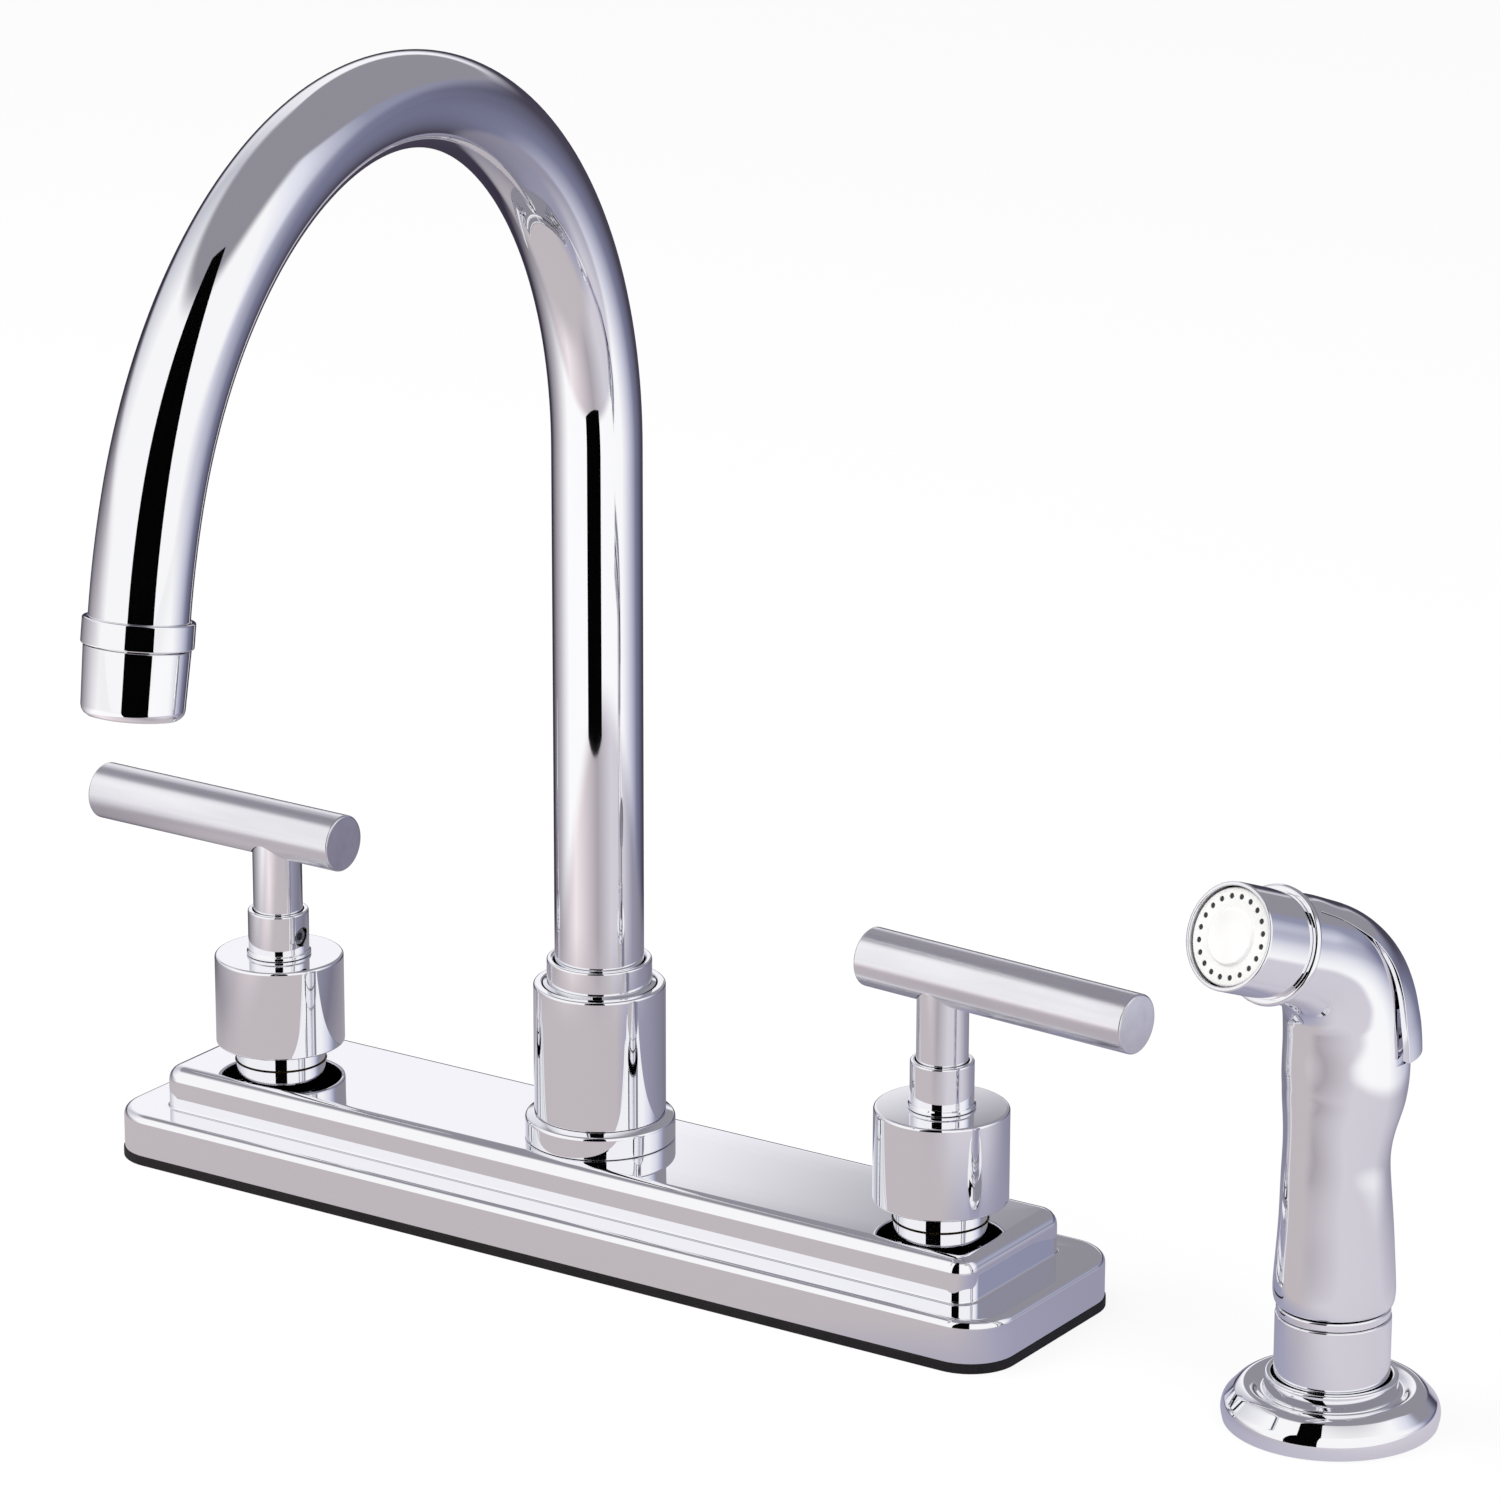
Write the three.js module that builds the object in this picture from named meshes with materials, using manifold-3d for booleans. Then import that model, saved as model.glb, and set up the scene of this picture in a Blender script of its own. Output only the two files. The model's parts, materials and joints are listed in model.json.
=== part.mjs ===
// Side spray kitchen faucet: two lever handles and a swivel gooseneck on a stepped deck plate,
// with a hand spray standing in its own holder. Millimetres, +Z up.
// The origin lies on the sink deck under the spout's axis. The user stands on the -Y side,
// hot is at -X and cold at +X.
import * as THREE from 'three';
import { mergeVertices } from 'three/addons/utils/BufferGeometryUtils.js';
import Module from 'manifold-3d';

const wasm = await Module();
wasm.setup();

// ---------------------------------------------------------------- driving dimensions
const seat = 0.1;                 // between flat faces that rest on each other
const slip = 0.3;                 // radial clearance of a piece in its bore
const fine = 18;                  // sides of a round piece that shows
const coarse = 12;                // sides of a small or hidden round piece

const gasket = { thickness: 2.4, overhang: 0.3, land: 7 };
const valveSpacing = 203.2;       // 8 inch between the two valve axes
const past = { valve: 21.9, stepEnd: 11.4, stepSide: 9.25 };   // step past a valve, plate past the step
const step = { length: valveSpacing + 2 * past.valve, depth: 46, corner: 5.5, top: 24.5, edge: 4 };
const plate = { length: step.length + 2 * past.stepEnd, depth: step.depth + 2 * past.stepSide, corner: 12.3,
  top: 13.3, edge: 2.2, wall: 2.4 };
const sinkThickness = 10;         // the deck that the washers clamp

const casting = { low: 3, valveRadius: 10, valveTop: 27, valveBore: 8.7, shoulder: 15, shoulderHeight: 2.4,
  hubRadius: 12.4, hubTop: 61.5, hubBore: 9.2, hubFloor: 10, crossHeight: 14, crossRadius: 6.6, crossBore: 3.2,
  outletBore: 6.2 };
const shank = { radius: 10.3, bore: 6, low: -55, spigot: 6.5 };
const washer = { radius: 21, thickness: 2 };
const nut = { radius: 17, flange: 20, flangeHeight: 2.5, height: 12, lobes: 6, lobeDepth: 1.4 };
const nipple = { radius: 6.6, bore: 3.5, low: -14, spigot: 6.5 };

const cartridge = { low: 11, radius: 7.9, footRadius: 8.4, footHeight: 2, chamber: 6.9, chamberTop: 20.3,
  flange: 9.6, flangeHeight: 1.4, neck: 6.3, neckTop: 36, port: 1.8, portHeight: 18.2 };
const disc = { radius: 6.6, thickness: 2.4, hole: 1.7, offset: 3.3, slotWidth: 2.2, slotDepth: 1.2 };
const spindle = { radius: 3.8, collar: 5.2, collarHeight: 1.6, top: 61 };
const bonnet = { radius: 11.7, rib: 0.5, ribHeight: 1, web: 3, chamfer: 1.2 };

const hub = { radius: 16.75, low: 29.5, top: 53.45, wall: 2, roof: 2.6, edge: 0.8 };
const collar = { radius: 7.9, foot: 8.4, footHeight: 1.2, top: 65.6, socketFloor: 61.3, edge: 0.5 };
const setScrew = { radius: 2.2, hole: 2.6, height: 59.2, recess: 1, key: 1.1, keyDepth: 1.4 };
const post = { radius: 6.4 };
const bar = { radius: 7.4, height: 87.3, outward: 57.3, inward: 22, edge: 0.6, socketDepth: 4.6 };
const hotTurn = -1;               // degrees from the plate's length towards the user, as it stands
const coldTurn = 4.5;

const baseRing = { radius: 19.05, height: 5.7, slope: 0.8, edge: 0.7 };
const body = { radius: 16.67, top: 65.6, edge: 0.7, counterbore: 14.5, counterFloor: 46 };
const spoutNut = { radius: 13.25, top: 72.1, edge: 0.8, skirt: 14.2, skirtDepth: 16.5, shelf: 65 };
const spout = { radius: 11.23, bore: 9.9, straightTop: 204, archRadius: 104.4, archAngle: 160.3,
  dropRadius: 150, dropAngle: 9.5, tail: 1.3, turn: 6.6, steps: 28 };
const swivel = { radius: 8.8, low: 38, bore: 6.4, flange: 12.1, flangeHeight: 1.4, plugTop: 71 };
const ring = { section: 0.95, clearance: 0.2, grooveWidth: 2.5, lower: 43, upper: 50 };
const bearing = { thickness: 1.2 };
const diverter = { low: 13, top: 34, bore: 4.4, port: 1.8, portHeight: 18, piston: 4.1, pistonLow: 16, pistonTop: 30,
  head: 3, taper: 1.5, waist: 2.2 };

const tipRing = { radius: 12.45, length: 5.3, edge: 0.5, overlap: 0.6 };
const aerator = { radius: 11.86, foot: 11.4, length: 15.9, round: 3, wall: 1.4, spigot: 4 };
const insert = { height: 7, lip: 0.8, holes: 12, hole: 0.75, holeCircle: 6.4 };

const sprayAt = { x: plate.length / 2 + 79.4, y: -6, turn: -14 };
const holder = { radius: 26.1, edge: 0.8, bulge: 1.4, shoulder: 3.6, crest: 20.6, crestHeight: 9.4, crestWidth: 1.8,
  valley: 16.9, valleyHeight: 7.6, lip: 15.9, lipHeight: 12.3, cupRadius: 14.3, cupFloor: 4, tube: 10.3, bore: 7.6,
  low: -45 };
const holderGasket = { radius: 24.6, thickness: 1.4 };
const sprayFoot = { radius: 13.77, low: 4.4, top: 27.3, bore: 9.2, edge: 0.4 };
const trimRing = { radius: 13.55, height: 2.2 };
const inlet = { radius: 6, bore: 3.4, low: -4, flange: 8.8, flangeHeight: 4, plug: 6.6, plugHeight: 8 };
const grip = { low: 30, shoulderBore: 5.6, valveBore: 7.2, shoulderAt: 84, boreTop: 109, boreAt: 1.7 };
const neck = { radius: 24, at: 1.7, bendFrom: 97.7, headTilt: 20.4, straight: 10.1, bore: 6.4 };
const lever = { from: 63, to: 103.5, thickness: 2, travel: 4, play: 0.3, lug: 6 };
const leverPin = { at: 94, offset: 9.4, radius: 1.2, length: 13, wall: 0.9 };
const valve = { at: 3.7, rod: 1.6, nose: 0.7, rodLow: 91, leverAt: 87.5, disc: 5.4, discTop: 99.6, discHeight: 3,
  seatLow: 100, seatHeight: 3, seatBore: 4 };
const spring = { outer: 6.4, inner: 5.2 };
const nozzle = { radius: 12.7, length: 16.85, bore: 11.7, edge: 0.5, web: 3 };
const seam = { radius: 14.15, width: 1.8 };
const face = { thickness: 1.8, recess: 0.9, holes: 20, hole: 0.55, holeCircle: 9.4, centre: 6.4, centreRise: 0.7 };

// ---------------------------------------------------------------- materials
const metal = (color, roughness) => new THREE.MeshStandardMaterial({ color, roughness, metalness: 1 });
const matte = (color, roughness) => new THREE.MeshStandardMaterial({ color, roughness, metalness: 0 });
const chrome = () => metal('#d9dade', 0.08);
const satin = () => metal('#bdbcc0', 0.35);
const brass = () => metal('#b9974f', 0.35);
const steel = () => metal('#9a9ca0', 0.3);
const rubber = () => matte('#1a1618', 0.85);
const plastic = () => matte('#2b2c2f', 0.5);
const ceramic = () => matte('#e8e6e0', 0.2);
const acetal = () => matte('#e9e9e6', 0.45);

// ---------------------------------------------------------------- solids
// A closed geometry as a solid whose faces point out.
const solid = (geometry) => {
  const shape = geometry.clone();
  shape.deleteAttribute('normal');
  shape.deleteAttribute('uv');
  const merged = mergeVertices(shape, 1e-4);
  const position = merged.getAttribute('position');
  const triangles = [];
  for (let i = 0; i < merged.index.count; i += 3) {
    const [a, b, c] = [0, 1, 2].map((k) => merged.index.getX(i + k));
    if (a !== b && b !== c && c !== a) triangles.push([a, b, c]);
  }
  const corner = (i) => new THREE.Vector3().fromBufferAttribute(position, i);
  const volume = triangles.reduce((sum, [a, b, c]) => sum + corner(a).dot(corner(b).cross(corner(c))), 0);
  const facing = volume < 0 ? triangles.map(([a, b, c]) => [a, c, b]) : triangles;
  const mesh = new wasm.Mesh({ numProp: 3, vertProperties: new Float32Array(position.array),
    triVerts: new Uint32Array(facing.flat()) });
  return new wasm.Manifold(mesh);
};

const union = (first, ...others) => others.reduce((sum, other) => sum.add(other), first);
const cut = (first, ...others) => others.reduce((sum, other) => sum.subtract(other), first);

// A profile of [radius, height] pairs turned about Z; off the axis it closes on itself.
const turnedGeometry = (profile, sides) => {
  const onAxis = profile[0][0] === 0;
  const outline = onAxis ? profile : [...profile, profile[0]];
  const geometry = new THREE.LatheGeometry(outline.map(([r, z]) => new THREE.Vector2(r, z)), sides);
  return geometry.rotateX(Math.PI / 2);
};
const turned = (profile, sides = fine) => solid(turnedGeometry(profile, sides));
const tube = (outer, inner, low, high, sides = fine) => turned(
  [[inner, low], [outer, low], [outer, high], [inner, high]], sides);
const rod = (radius, low, high, sides = fine) => turned(
  [[0, low], [radius, low], [radius, high], [0, high]], sides);

// A rod that lies elsewhere: its own axis is turned and moved before it becomes a solid.
const rodAt = (radius, low, high, turn, at, sides = coarse) => solid(
  turnedGeometry([[0, low], [radius, low], [radius, high], [0, high]], sides)
    .applyMatrix4(new THREE.Matrix4().makeRotationFromEuler(new THREE.Euler(...turn)).setPosition(...at)));
const boxAt = (x, y, z, at) => solid(new THREE.BoxGeometry(x, y, z).translate(...at));

const roundedRect = (length, depth, radius) => {
  const [x, y] = [length / 2 - radius, depth / 2 - radius];
  const shape = new THREE.Shape();
  shape.absarc(x, y, radius, 0, Math.PI / 2, false);
  shape.absarc(-x, y, radius, Math.PI / 2, Math.PI, false);
  shape.absarc(-x, -y, radius, Math.PI, 1.5 * Math.PI, false);
  shape.absarc(x, -y, radius, 1.5 * Math.PI, 2 * Math.PI, false);
  return shape;
};
const slab = (shape, low, high, curveSegments = 4) => solid(new THREE.ExtrudeGeometry(shape,
  { depth: high - low, bevelEnabled: false, curveSegments }).translate(0, 0, low));
// A block whose top edge is rounded: its rounded bottom edge is cut away at `low`.
const roundedBlock = ({ length, depth, corner, top, edge }, low) => {
  const height = top - low;
  const whole = solid(new THREE.ExtrudeGeometry(roundedRect(length, depth, corner), { depth: height,
    bevelEnabled: true, bevelThickness: edge, bevelSize: edge, bevelOffset: -edge, bevelSegments: 2,
    curveSegments: 4 }).translate(0, 0, low - edge));
  return cut(whole, boxAt(2 * length, 2 * depth, 4 * edge, [0, 0, low - 2 * edge]));
};

const root = new THREE.Group();
const piece = (parent, name, shape, material) => {
  const { vertProperties, triVerts } = shape.getMesh();
  const geometry = new THREE.BufferGeometry();
  geometry.setAttribute('position', new THREE.BufferAttribute(vertProperties, 3));
  geometry.setIndex(new THREE.BufferAttribute(triVerts, 1));
  geometry.computeVertexNormals();
  const mesh = new THREE.Mesh(geometry, material);
  mesh.name = name;
  parent.add(mesh);
  return mesh;
};
const group = (parent, position, turn = [0, 0, 0]) => {
  const made = new THREE.Group();
  made.position.set(...position);
  made.rotation.set(...turn);
  parent.add(made);
  return made;
};
const radians = THREE.MathUtils.degToRad;
const valveX = valveSpacing / 2;

// ---------------------------------------------------------------- deck plate and gasket
const deckPlate = () => {
  const low = gasket.thickness + seat;
  const inner = (tier) => slab(roundedRect(tier.length - 2 * plate.wall, tier.depth - 2 * plate.wall,
    tier.corner - plate.wall), low - 1, tier.top - plate.wall);
  const opening = (radius, x) => rodAt(radius, step.top - 2 * plate.wall, step.top + 1, [0, 0, 0], [x, 0, 0], fine);
  return cut(union(roundedBlock(plate, low), roundedBlock(step, plate.top - plate.wall)), inner(plate), inner(step),
    opening(bonnet.radius + slip, -valveX), opening(bonnet.radius + slip, valveX),
    opening(casting.hubRadius + slip, 0));
};
const deckGasket = () => {
  const outline = (inset) => roundedRect(plate.length - 2 * inset, plate.depth - 2 * inset, plate.corner - inset);
  return cut(slab(outline(-gasket.overhang), 0, gasket.thickness),
    slab(outline(gasket.land), -1, gasket.thickness + 1));
};
piece(root, 'deck_gasket', deckGasket(), rubber());
piece(root, 'deck_plate', deckPlate(), chrome());

// ---------------------------------------------------------------- waterway under the plate
const waterway = () => {
  const across = [0, Math.PI / 2, 0];
  const shoulderTop = step.top - plate.wall - slip;
  const boss = (x) => union(rodAt(casting.valveRadius, casting.low, casting.valveTop, [0, 0, 0], [x, 0, 0], fine),
    rodAt(casting.shoulder, shoulderTop - casting.shoulderHeight, shoulderTop, [0, 0, 0], [x, 0, 0], fine));
  const valveBore = (x) => rodAt(casting.valveBore, casting.low - 1, casting.valveTop + 1, [0, 0, 0], [x, 0, 0], fine);
  return cut(
    union(rodAt(casting.crossRadius, -valveX, valveX, across, [0, 0, casting.crossHeight]), boss(-valveX),
      boss(valveX), rod(casting.hubRadius, casting.low, casting.hubTop),
      rod(casting.shoulder, shoulderTop - casting.shoulderHeight, shoulderTop)),
    valveBore(-valveX), valveBore(valveX), rod(casting.hubBore, casting.hubFloor, casting.hubTop + 1),
    rod(casting.outletBore, casting.low - 1, casting.hubFloor + 1, coarse),
    rodAt(casting.crossBore, -valveX, valveX, across, [0, 0, casting.crossHeight]));
};
const inletShank = () => turned([[shank.bore, shank.low], [shank.radius, shank.low],
  [shank.radius, casting.low - seat], [casting.valveBore - slip, casting.low - seat],
  [casting.valveBore - slip, casting.low + shank.spigot], [shank.bore, casting.low + shank.spigot]]);
const mountingWasher = () => tube(washer.radius, shank.radius + slip,
  -sinkThickness - washer.thickness, -sinkThickness);
// A flanged nut with wide lobes for fingers.
const lobedNut = (bore, top) => {
  const outline = new THREE.Shape();
  const points = nut.lobes * 4;
  for (let i = 0; i < points; i += 1) {
    const angle = 2 * Math.PI * i / points;
    const radius = nut.radius - nut.lobeDepth * (1 - Math.cos(nut.lobes * angle)) / 2;
    outline[i ? 'lineTo' : 'moveTo'](radius * Math.cos(angle), radius * Math.sin(angle));
  }
  const whole = union(slab(outline, top - nut.height, top - nut.flangeHeight),
    rod(nut.flange, top - nut.flangeHeight, top));
  return cut(whole, rod(bore, top - nut.height - 1, top + 1));
};
piece(root, 'waterway_casting', waterway(), brass());
piece(root, 'spray_outlet_nipple', turned([[nipple.bore, nipple.low], [nipple.radius, nipple.low],
  [nipple.radius, casting.low - seat], [casting.outletBore - slip, casting.low - seat],
  [casting.outletBore - slip, casting.low + nipple.spigot], [nipple.bore, casting.low + nipple.spigot]],
coarse), brass());

// ---------------------------------------------------------------- valves and handles
const discLow = cartridge.low + 0.2;
const turningLow = discLow + disc.thickness + slip;
const spindleLow = turningLow + disc.thickness + slip;
const flangeLow = casting.valveTop + seat;

const cartridgeSleeve = () => {
  const flangeTop = flangeLow + cartridge.flangeHeight;
  const sleeve = turned([[cartridge.chamber, cartridge.low], [cartridge.footRadius, cartridge.low],
    [cartridge.footRadius, cartridge.low + cartridge.footHeight],
    [cartridge.radius, cartridge.low + cartridge.footHeight], [cartridge.radius, flangeLow],
    [cartridge.flange, flangeLow], [cartridge.flange, flangeTop], [cartridge.neck, flangeTop],
    [cartridge.neck, cartridge.neckTop], [spindle.radius + slip, cartridge.neckTop],
    [spindle.radius + slip, cartridge.chamberTop], [cartridge.chamber, cartridge.chamberTop]], coarse);
  return cut(sleeve, rodAt(cartridge.port, -cartridge.flange, cartridge.flange, [0, Math.PI / 2, 0],
    [0, 0, cartridge.portHeight], 8));
};
const fixedDisc = () => cut(rod(disc.radius, discLow, discLow + disc.thickness, coarse),
  ...[-1, 1].map((s) => rodAt(disc.hole, discLow - 1, discLow + disc.thickness + 1, [0, 0, 0],
    [s * disc.offset, 0, 0], 8)));
const turningDisc = () => cut(rod(disc.radius, turningLow, turningLow + disc.thickness, coarse),
  ...[-1, 1].map((s) => rodAt(disc.hole, turningLow - 1, turningLow + disc.thickness + 1, [0, 0, 0],
    [0, s * disc.offset, 0], 8)),
  boxAt(disc.slotWidth, 3 * disc.radius, 2 * disc.slotDepth, [0, 0, turningLow + disc.thickness]));
const valveSpindle = () => {
  const shaft = turned([[0, spindleLow], [spindle.collar, spindleLow],
    [spindle.collar, spindleLow + spindle.collarHeight], [spindle.radius, spindleLow + spindle.collarHeight],
    [spindle.radius, spindle.top], [0, spindle.top]], coarse);
  const tang = boxAt(disc.slotWidth - 2 * seat, 1.5 * spindle.collar, 2 * disc.slotDepth, [0, 0, spindleLow]);
  return union(shaft, tang);
};
const bonnetNut = () => {
  const low = step.top + seat;
  const shelf = flangeLow + cartridge.flangeHeight + seat;
  const top = shelf + bonnet.web;
  const neck = bonnet.radius - bonnet.rib;
  return turned([[casting.valveRadius + slip, low], [bonnet.radius, low], [bonnet.radius, low + bonnet.ribHeight],
    [neck, low + bonnet.ribHeight + bonnet.rib], [neck, top - bonnet.chamfer], [neck - bonnet.chamfer, top],
    [cartridge.neck + slip, top], [cartridge.neck + slip, shelf], [casting.valveRadius + slip, shelf]]);
};
const handleHub = () => turned([[hub.radius - hub.wall, hub.low], [hub.radius - hub.edge, hub.low],
  [hub.radius, hub.low + hub.edge], [hub.radius, hub.top - hub.edge],
  [hub.radius - 0.3 * hub.edge, hub.top - 0.3 * hub.edge],
  [hub.radius - hub.edge, hub.top], [spindle.radius + slip, hub.top], [spindle.radius + slip, hub.top - hub.roof],
  [hub.radius - hub.wall, hub.top - hub.roof]]);
const handleCollar = () => {
  const low = hub.top + seat;
  const whole = turned([[spindle.radius + slip, low], [collar.foot, low], [collar.foot, low + 0.5 * collar.footHeight],
    [collar.radius, low + collar.footHeight], [collar.radius, collar.top - collar.edge],
    [collar.radius - collar.edge, collar.top], [post.radius + slip, collar.top],
    [post.radius + slip, collar.socketFloor], [spindle.radius + slip, collar.socketFloor]]);
  return cut(whole, rodAt(setScrew.hole, spindle.radius, 2 * collar.radius, [0, -Math.PI / 2, 0],
    [0, 0, setScrew.height]));
};
const grubScrew = () => {
  const [inner, outer] = [spindle.radius + slip, collar.radius - setScrew.recess];
  const lying = (radius, low, high, sides) => rodAt(radius, low, high, [0, -Math.PI / 2, 0],
    [0, 0, setScrew.height], sides);
  return cut(lying(setScrew.radius, inner, outer, coarse),
    lying(setScrew.key, outer - setScrew.keyDepth, outer + 1, 6));
};
const barSocketTop = bar.height - bar.radius + bar.socketDepth;
const handlePost = () => rod(post.radius, collar.socketFloor + slip, barSocketTop - slip);
const handleBar = () => {
  const profile = [[0, -bar.inward], [bar.radius - bar.edge, -bar.inward], [bar.radius, -bar.inward + bar.edge],
    [bar.radius, bar.outward - bar.edge], [bar.radius - bar.edge, bar.outward], [0, bar.outward]];
  const whole = solid(turnedGeometry(profile, fine).rotateY(Math.PI / 2).translate(0, 0, bar.height));
  return cut(whole, rod(post.radius + slip, barSocketTop - 2 * bar.radius, barSocketTop));
};

// One side: the fixed valve on its axis, and what turns with the handle in a group of its own.
const valveSide = (name, x, turn) => {
  const fixed = group(root, [x, 0, 0]);
  piece(fixed, `${name}_inlet_shank`, inletShank(), brass());
  piece(fixed, `${name}_mounting_washer`, mountingWasher(), steel());
  const nutTop = -sinkThickness - washer.thickness - seat;
  piece(fixed, `${name}_mounting_nut`, lobedNut(shank.radius + slip, nutTop), acetal());
  piece(fixed, `${name}_cartridge_sleeve`, cartridgeSleeve(), brass());
  piece(fixed, `${name}_fixed_disc`, fixedDisc(), ceramic());
  piece(fixed, `${name}_bonnet_nut`, bonnetNut(), chrome());
  const turning = group(root, [x, 0, 0], [0, 0, radians(turn)]);
  piece(turning, `${name}_turning_disc`, turningDisc(), ceramic());
  piece(turning, `${name}_spindle`, valveSpindle(), brass());
  piece(turning, `${name}_handle_hub`, handleHub(), chrome());
  piece(turning, `${name}_handle_collar`, handleCollar(), chrome());
  piece(turning, `${name}_set_screw`, grubScrew(), steel());
  piece(turning, `${name}_handle_post`, handlePost(), chrome());
  piece(turning, `${name}_handle_bar`, handleBar(), satin());
};
valveSide('hot', -valveX, 180 + hotTurn);
valveSide('cold', valveX, -coldTurn);

// ---------------------------------------------------------------- spout base, fixed
const spoutBore = casting.hubRadius + slip;
const ringTop = step.top + seat + baseRing.height;
piece(root, 'spout_base_ring', turned([[spoutBore, step.top + seat], [baseRing.radius, step.top + seat],
  [baseRing.radius, ringTop - baseRing.edge], [baseRing.radius - baseRing.edge, ringTop],
  [body.radius, ringTop + baseRing.slope], [spoutBore, ringTop + baseRing.slope]]), chrome());
piece(root, 'spout_body', turned([[spoutBore, ringTop + baseRing.slope + seat],
  [body.radius, ringTop + baseRing.slope + seat], [body.radius, body.top - body.edge],
  [body.radius - 0.3 * body.edge, body.top - 0.3 * body.edge], [body.radius - body.edge, body.top],
  [body.counterbore, body.top], [body.counterbore, body.counterFloor], [spoutBore, body.counterFloor]]), chrome());
piece(root, 'spout_nut', turned([[spoutBore, spoutNut.shelf - spoutNut.skirtDepth],
  [spoutNut.skirt, spoutNut.shelf - spoutNut.skirtDepth], [spoutNut.skirt, body.top - seat],
  [spoutNut.radius, body.top + slip], [spoutNut.radius, spoutNut.top - 0.4 * spoutNut.edge],
  [spoutNut.radius - 0.4 * spoutNut.edge, spoutNut.top], [spout.radius + slip + spoutNut.edge, spoutNut.top],
  [spout.radius + slip, spoutNut.top - spoutNut.edge], [spout.radius + slip, spoutNut.shelf],
  [spoutBore, spoutNut.shelf]]), chrome());
const diverterRadius = casting.hubBore - slip;
piece(root, 'diverter_body', cut(tube(diverterRadius, diverter.bore, diverter.low, diverter.top, coarse),
  rodAt(diverter.port, -casting.hubRadius, casting.hubRadius, [0, Math.PI / 2, 0],
    [0, 0, diverter.portHeight], 8)), acetal());
piece(root, 'diverter_piston', turned([[0, diverter.pistonLow], [diverter.piston, diverter.pistonLow],
  [diverter.piston, diverter.pistonLow + diverter.head],
  [diverter.waist, diverter.pistonLow + diverter.head + diverter.taper],
  [diverter.waist, diverter.pistonTop - diverter.head - diverter.taper],
  [diverter.piston, diverter.pistonTop - diverter.head],
  [diverter.piston, diverter.pistonTop], [0, diverter.pistonTop]], coarse), plastic());

// ---------------------------------------------------------------- swivel spout
// The spout is drawn in its own plane, reaching towards -Y, and then turned about Z.
class Arc extends THREE.Curve {
  constructor(centre, radius, from, to) {
    super();
    Object.assign(this, { centre, radius, from, to });
  }
  getPoint(t) {
    const angle = this.from + (this.to - this.from) * t;
    return new THREE.Vector3(0, this.centre[0] + this.radius * Math.cos(angle),
      this.centre[1] + this.radius * Math.sin(angle));
  }
}
const swivelTop = casting.hubTop + slip + swivel.flangeHeight;
const tubeLow = swivelTop + seat;
const archEnd = radians(spout.archAngle);
const dropEnd = radians(spout.archAngle + spout.dropAngle);
const archCentre = [-spout.archRadius, spout.straightTop];
const inward = spout.archRadius - spout.dropRadius;
const dropCentre = [archCentre[0] + inward * Math.cos(archEnd), archCentre[1] + inward * Math.sin(archEnd)];
const spoutPath = new THREE.CurvePath();
spoutPath.add(new THREE.LineCurve3(new THREE.Vector3(0, 0, tubeLow), new THREE.Vector3(0, 0, spout.straightTop)));
spoutPath.add(new Arc(archCentre, spout.archRadius, 0, archEnd));
const dropArc = new Arc(dropCentre, spout.dropRadius, archEnd, dropEnd);
spoutPath.add(dropArc);
const spoutEnd = dropArc.getPoint(1);
const tipTilt = Math.PI - dropEnd;
const tipDirection = new THREE.Vector3(0, -Math.sin(tipTilt), -Math.cos(tipTilt));
const tailEnd = spoutEnd.clone().addScaledVector(tipDirection, spout.tail);
spoutPath.add(new THREE.LineCurve3(spoutEnd, tailEnd));

const spoutTube = () => {
  const section = new THREE.Shape();
  section.absarc(0, 0, spout.radius, 0, 2 * Math.PI, false);
  const hollow = new THREE.Path();
  hollow.absarc(0, 0, spout.bore, 0, 2 * Math.PI, true);
  section.holes.push(hollow);
  return solid(new THREE.ExtrudeGeometry(section, { extrudePath: spoutPath, steps: spout.steps, curveSegments: 7 }));
};
const oRing = (height) => solid(new THREE.TorusGeometry(casting.hubBore - ring.clearance - ring.section,
  ring.section, 6, fine).translate(0, 0, height));
const swivelStem = () => {
  const grooveFloor = casting.hubBore - ring.clearance - 2 * ring.section - slip;
  const groove = (height) => [[swivel.radius, height - ring.grooveWidth / 2],
    [grooveFloor, height - ring.grooveWidth / 2],
    [grooveFloor, height + ring.grooveWidth / 2],
    [swivel.radius, height + ring.grooveWidth / 2]];
  return turned([[swivel.bore, swivel.low], [swivel.radius, swivel.low], ...groove(ring.lower), ...groove(ring.upper),
    [swivel.radius, casting.hubTop + slip], [swivel.flange, casting.hubTop + slip], [swivel.flange, swivelTop],
    [spout.bore - slip, swivelTop], [spout.bore - slip, swivel.plugTop], [swivel.bore, swivel.plugTop]]);
};
const moving = group(root, [0, 0, 0], [0, 0, radians(spout.turn)]);
piece(moving, 'spout_tube', spoutTube(), chrome());
piece(moving, 'spout_swivel', swivelStem(), brass());
piece(moving, 'spout_lower_o_ring', oRing(ring.lower), rubber());
piece(moving, 'spout_upper_o_ring', oRing(ring.upper), rubber());
piece(moving, 'spout_bearing_ring', tube(swivel.flange, spout.radius + slip, swivelTop + seat,
  swivelTop + seat + bearing.thickness), acetal());

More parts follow.
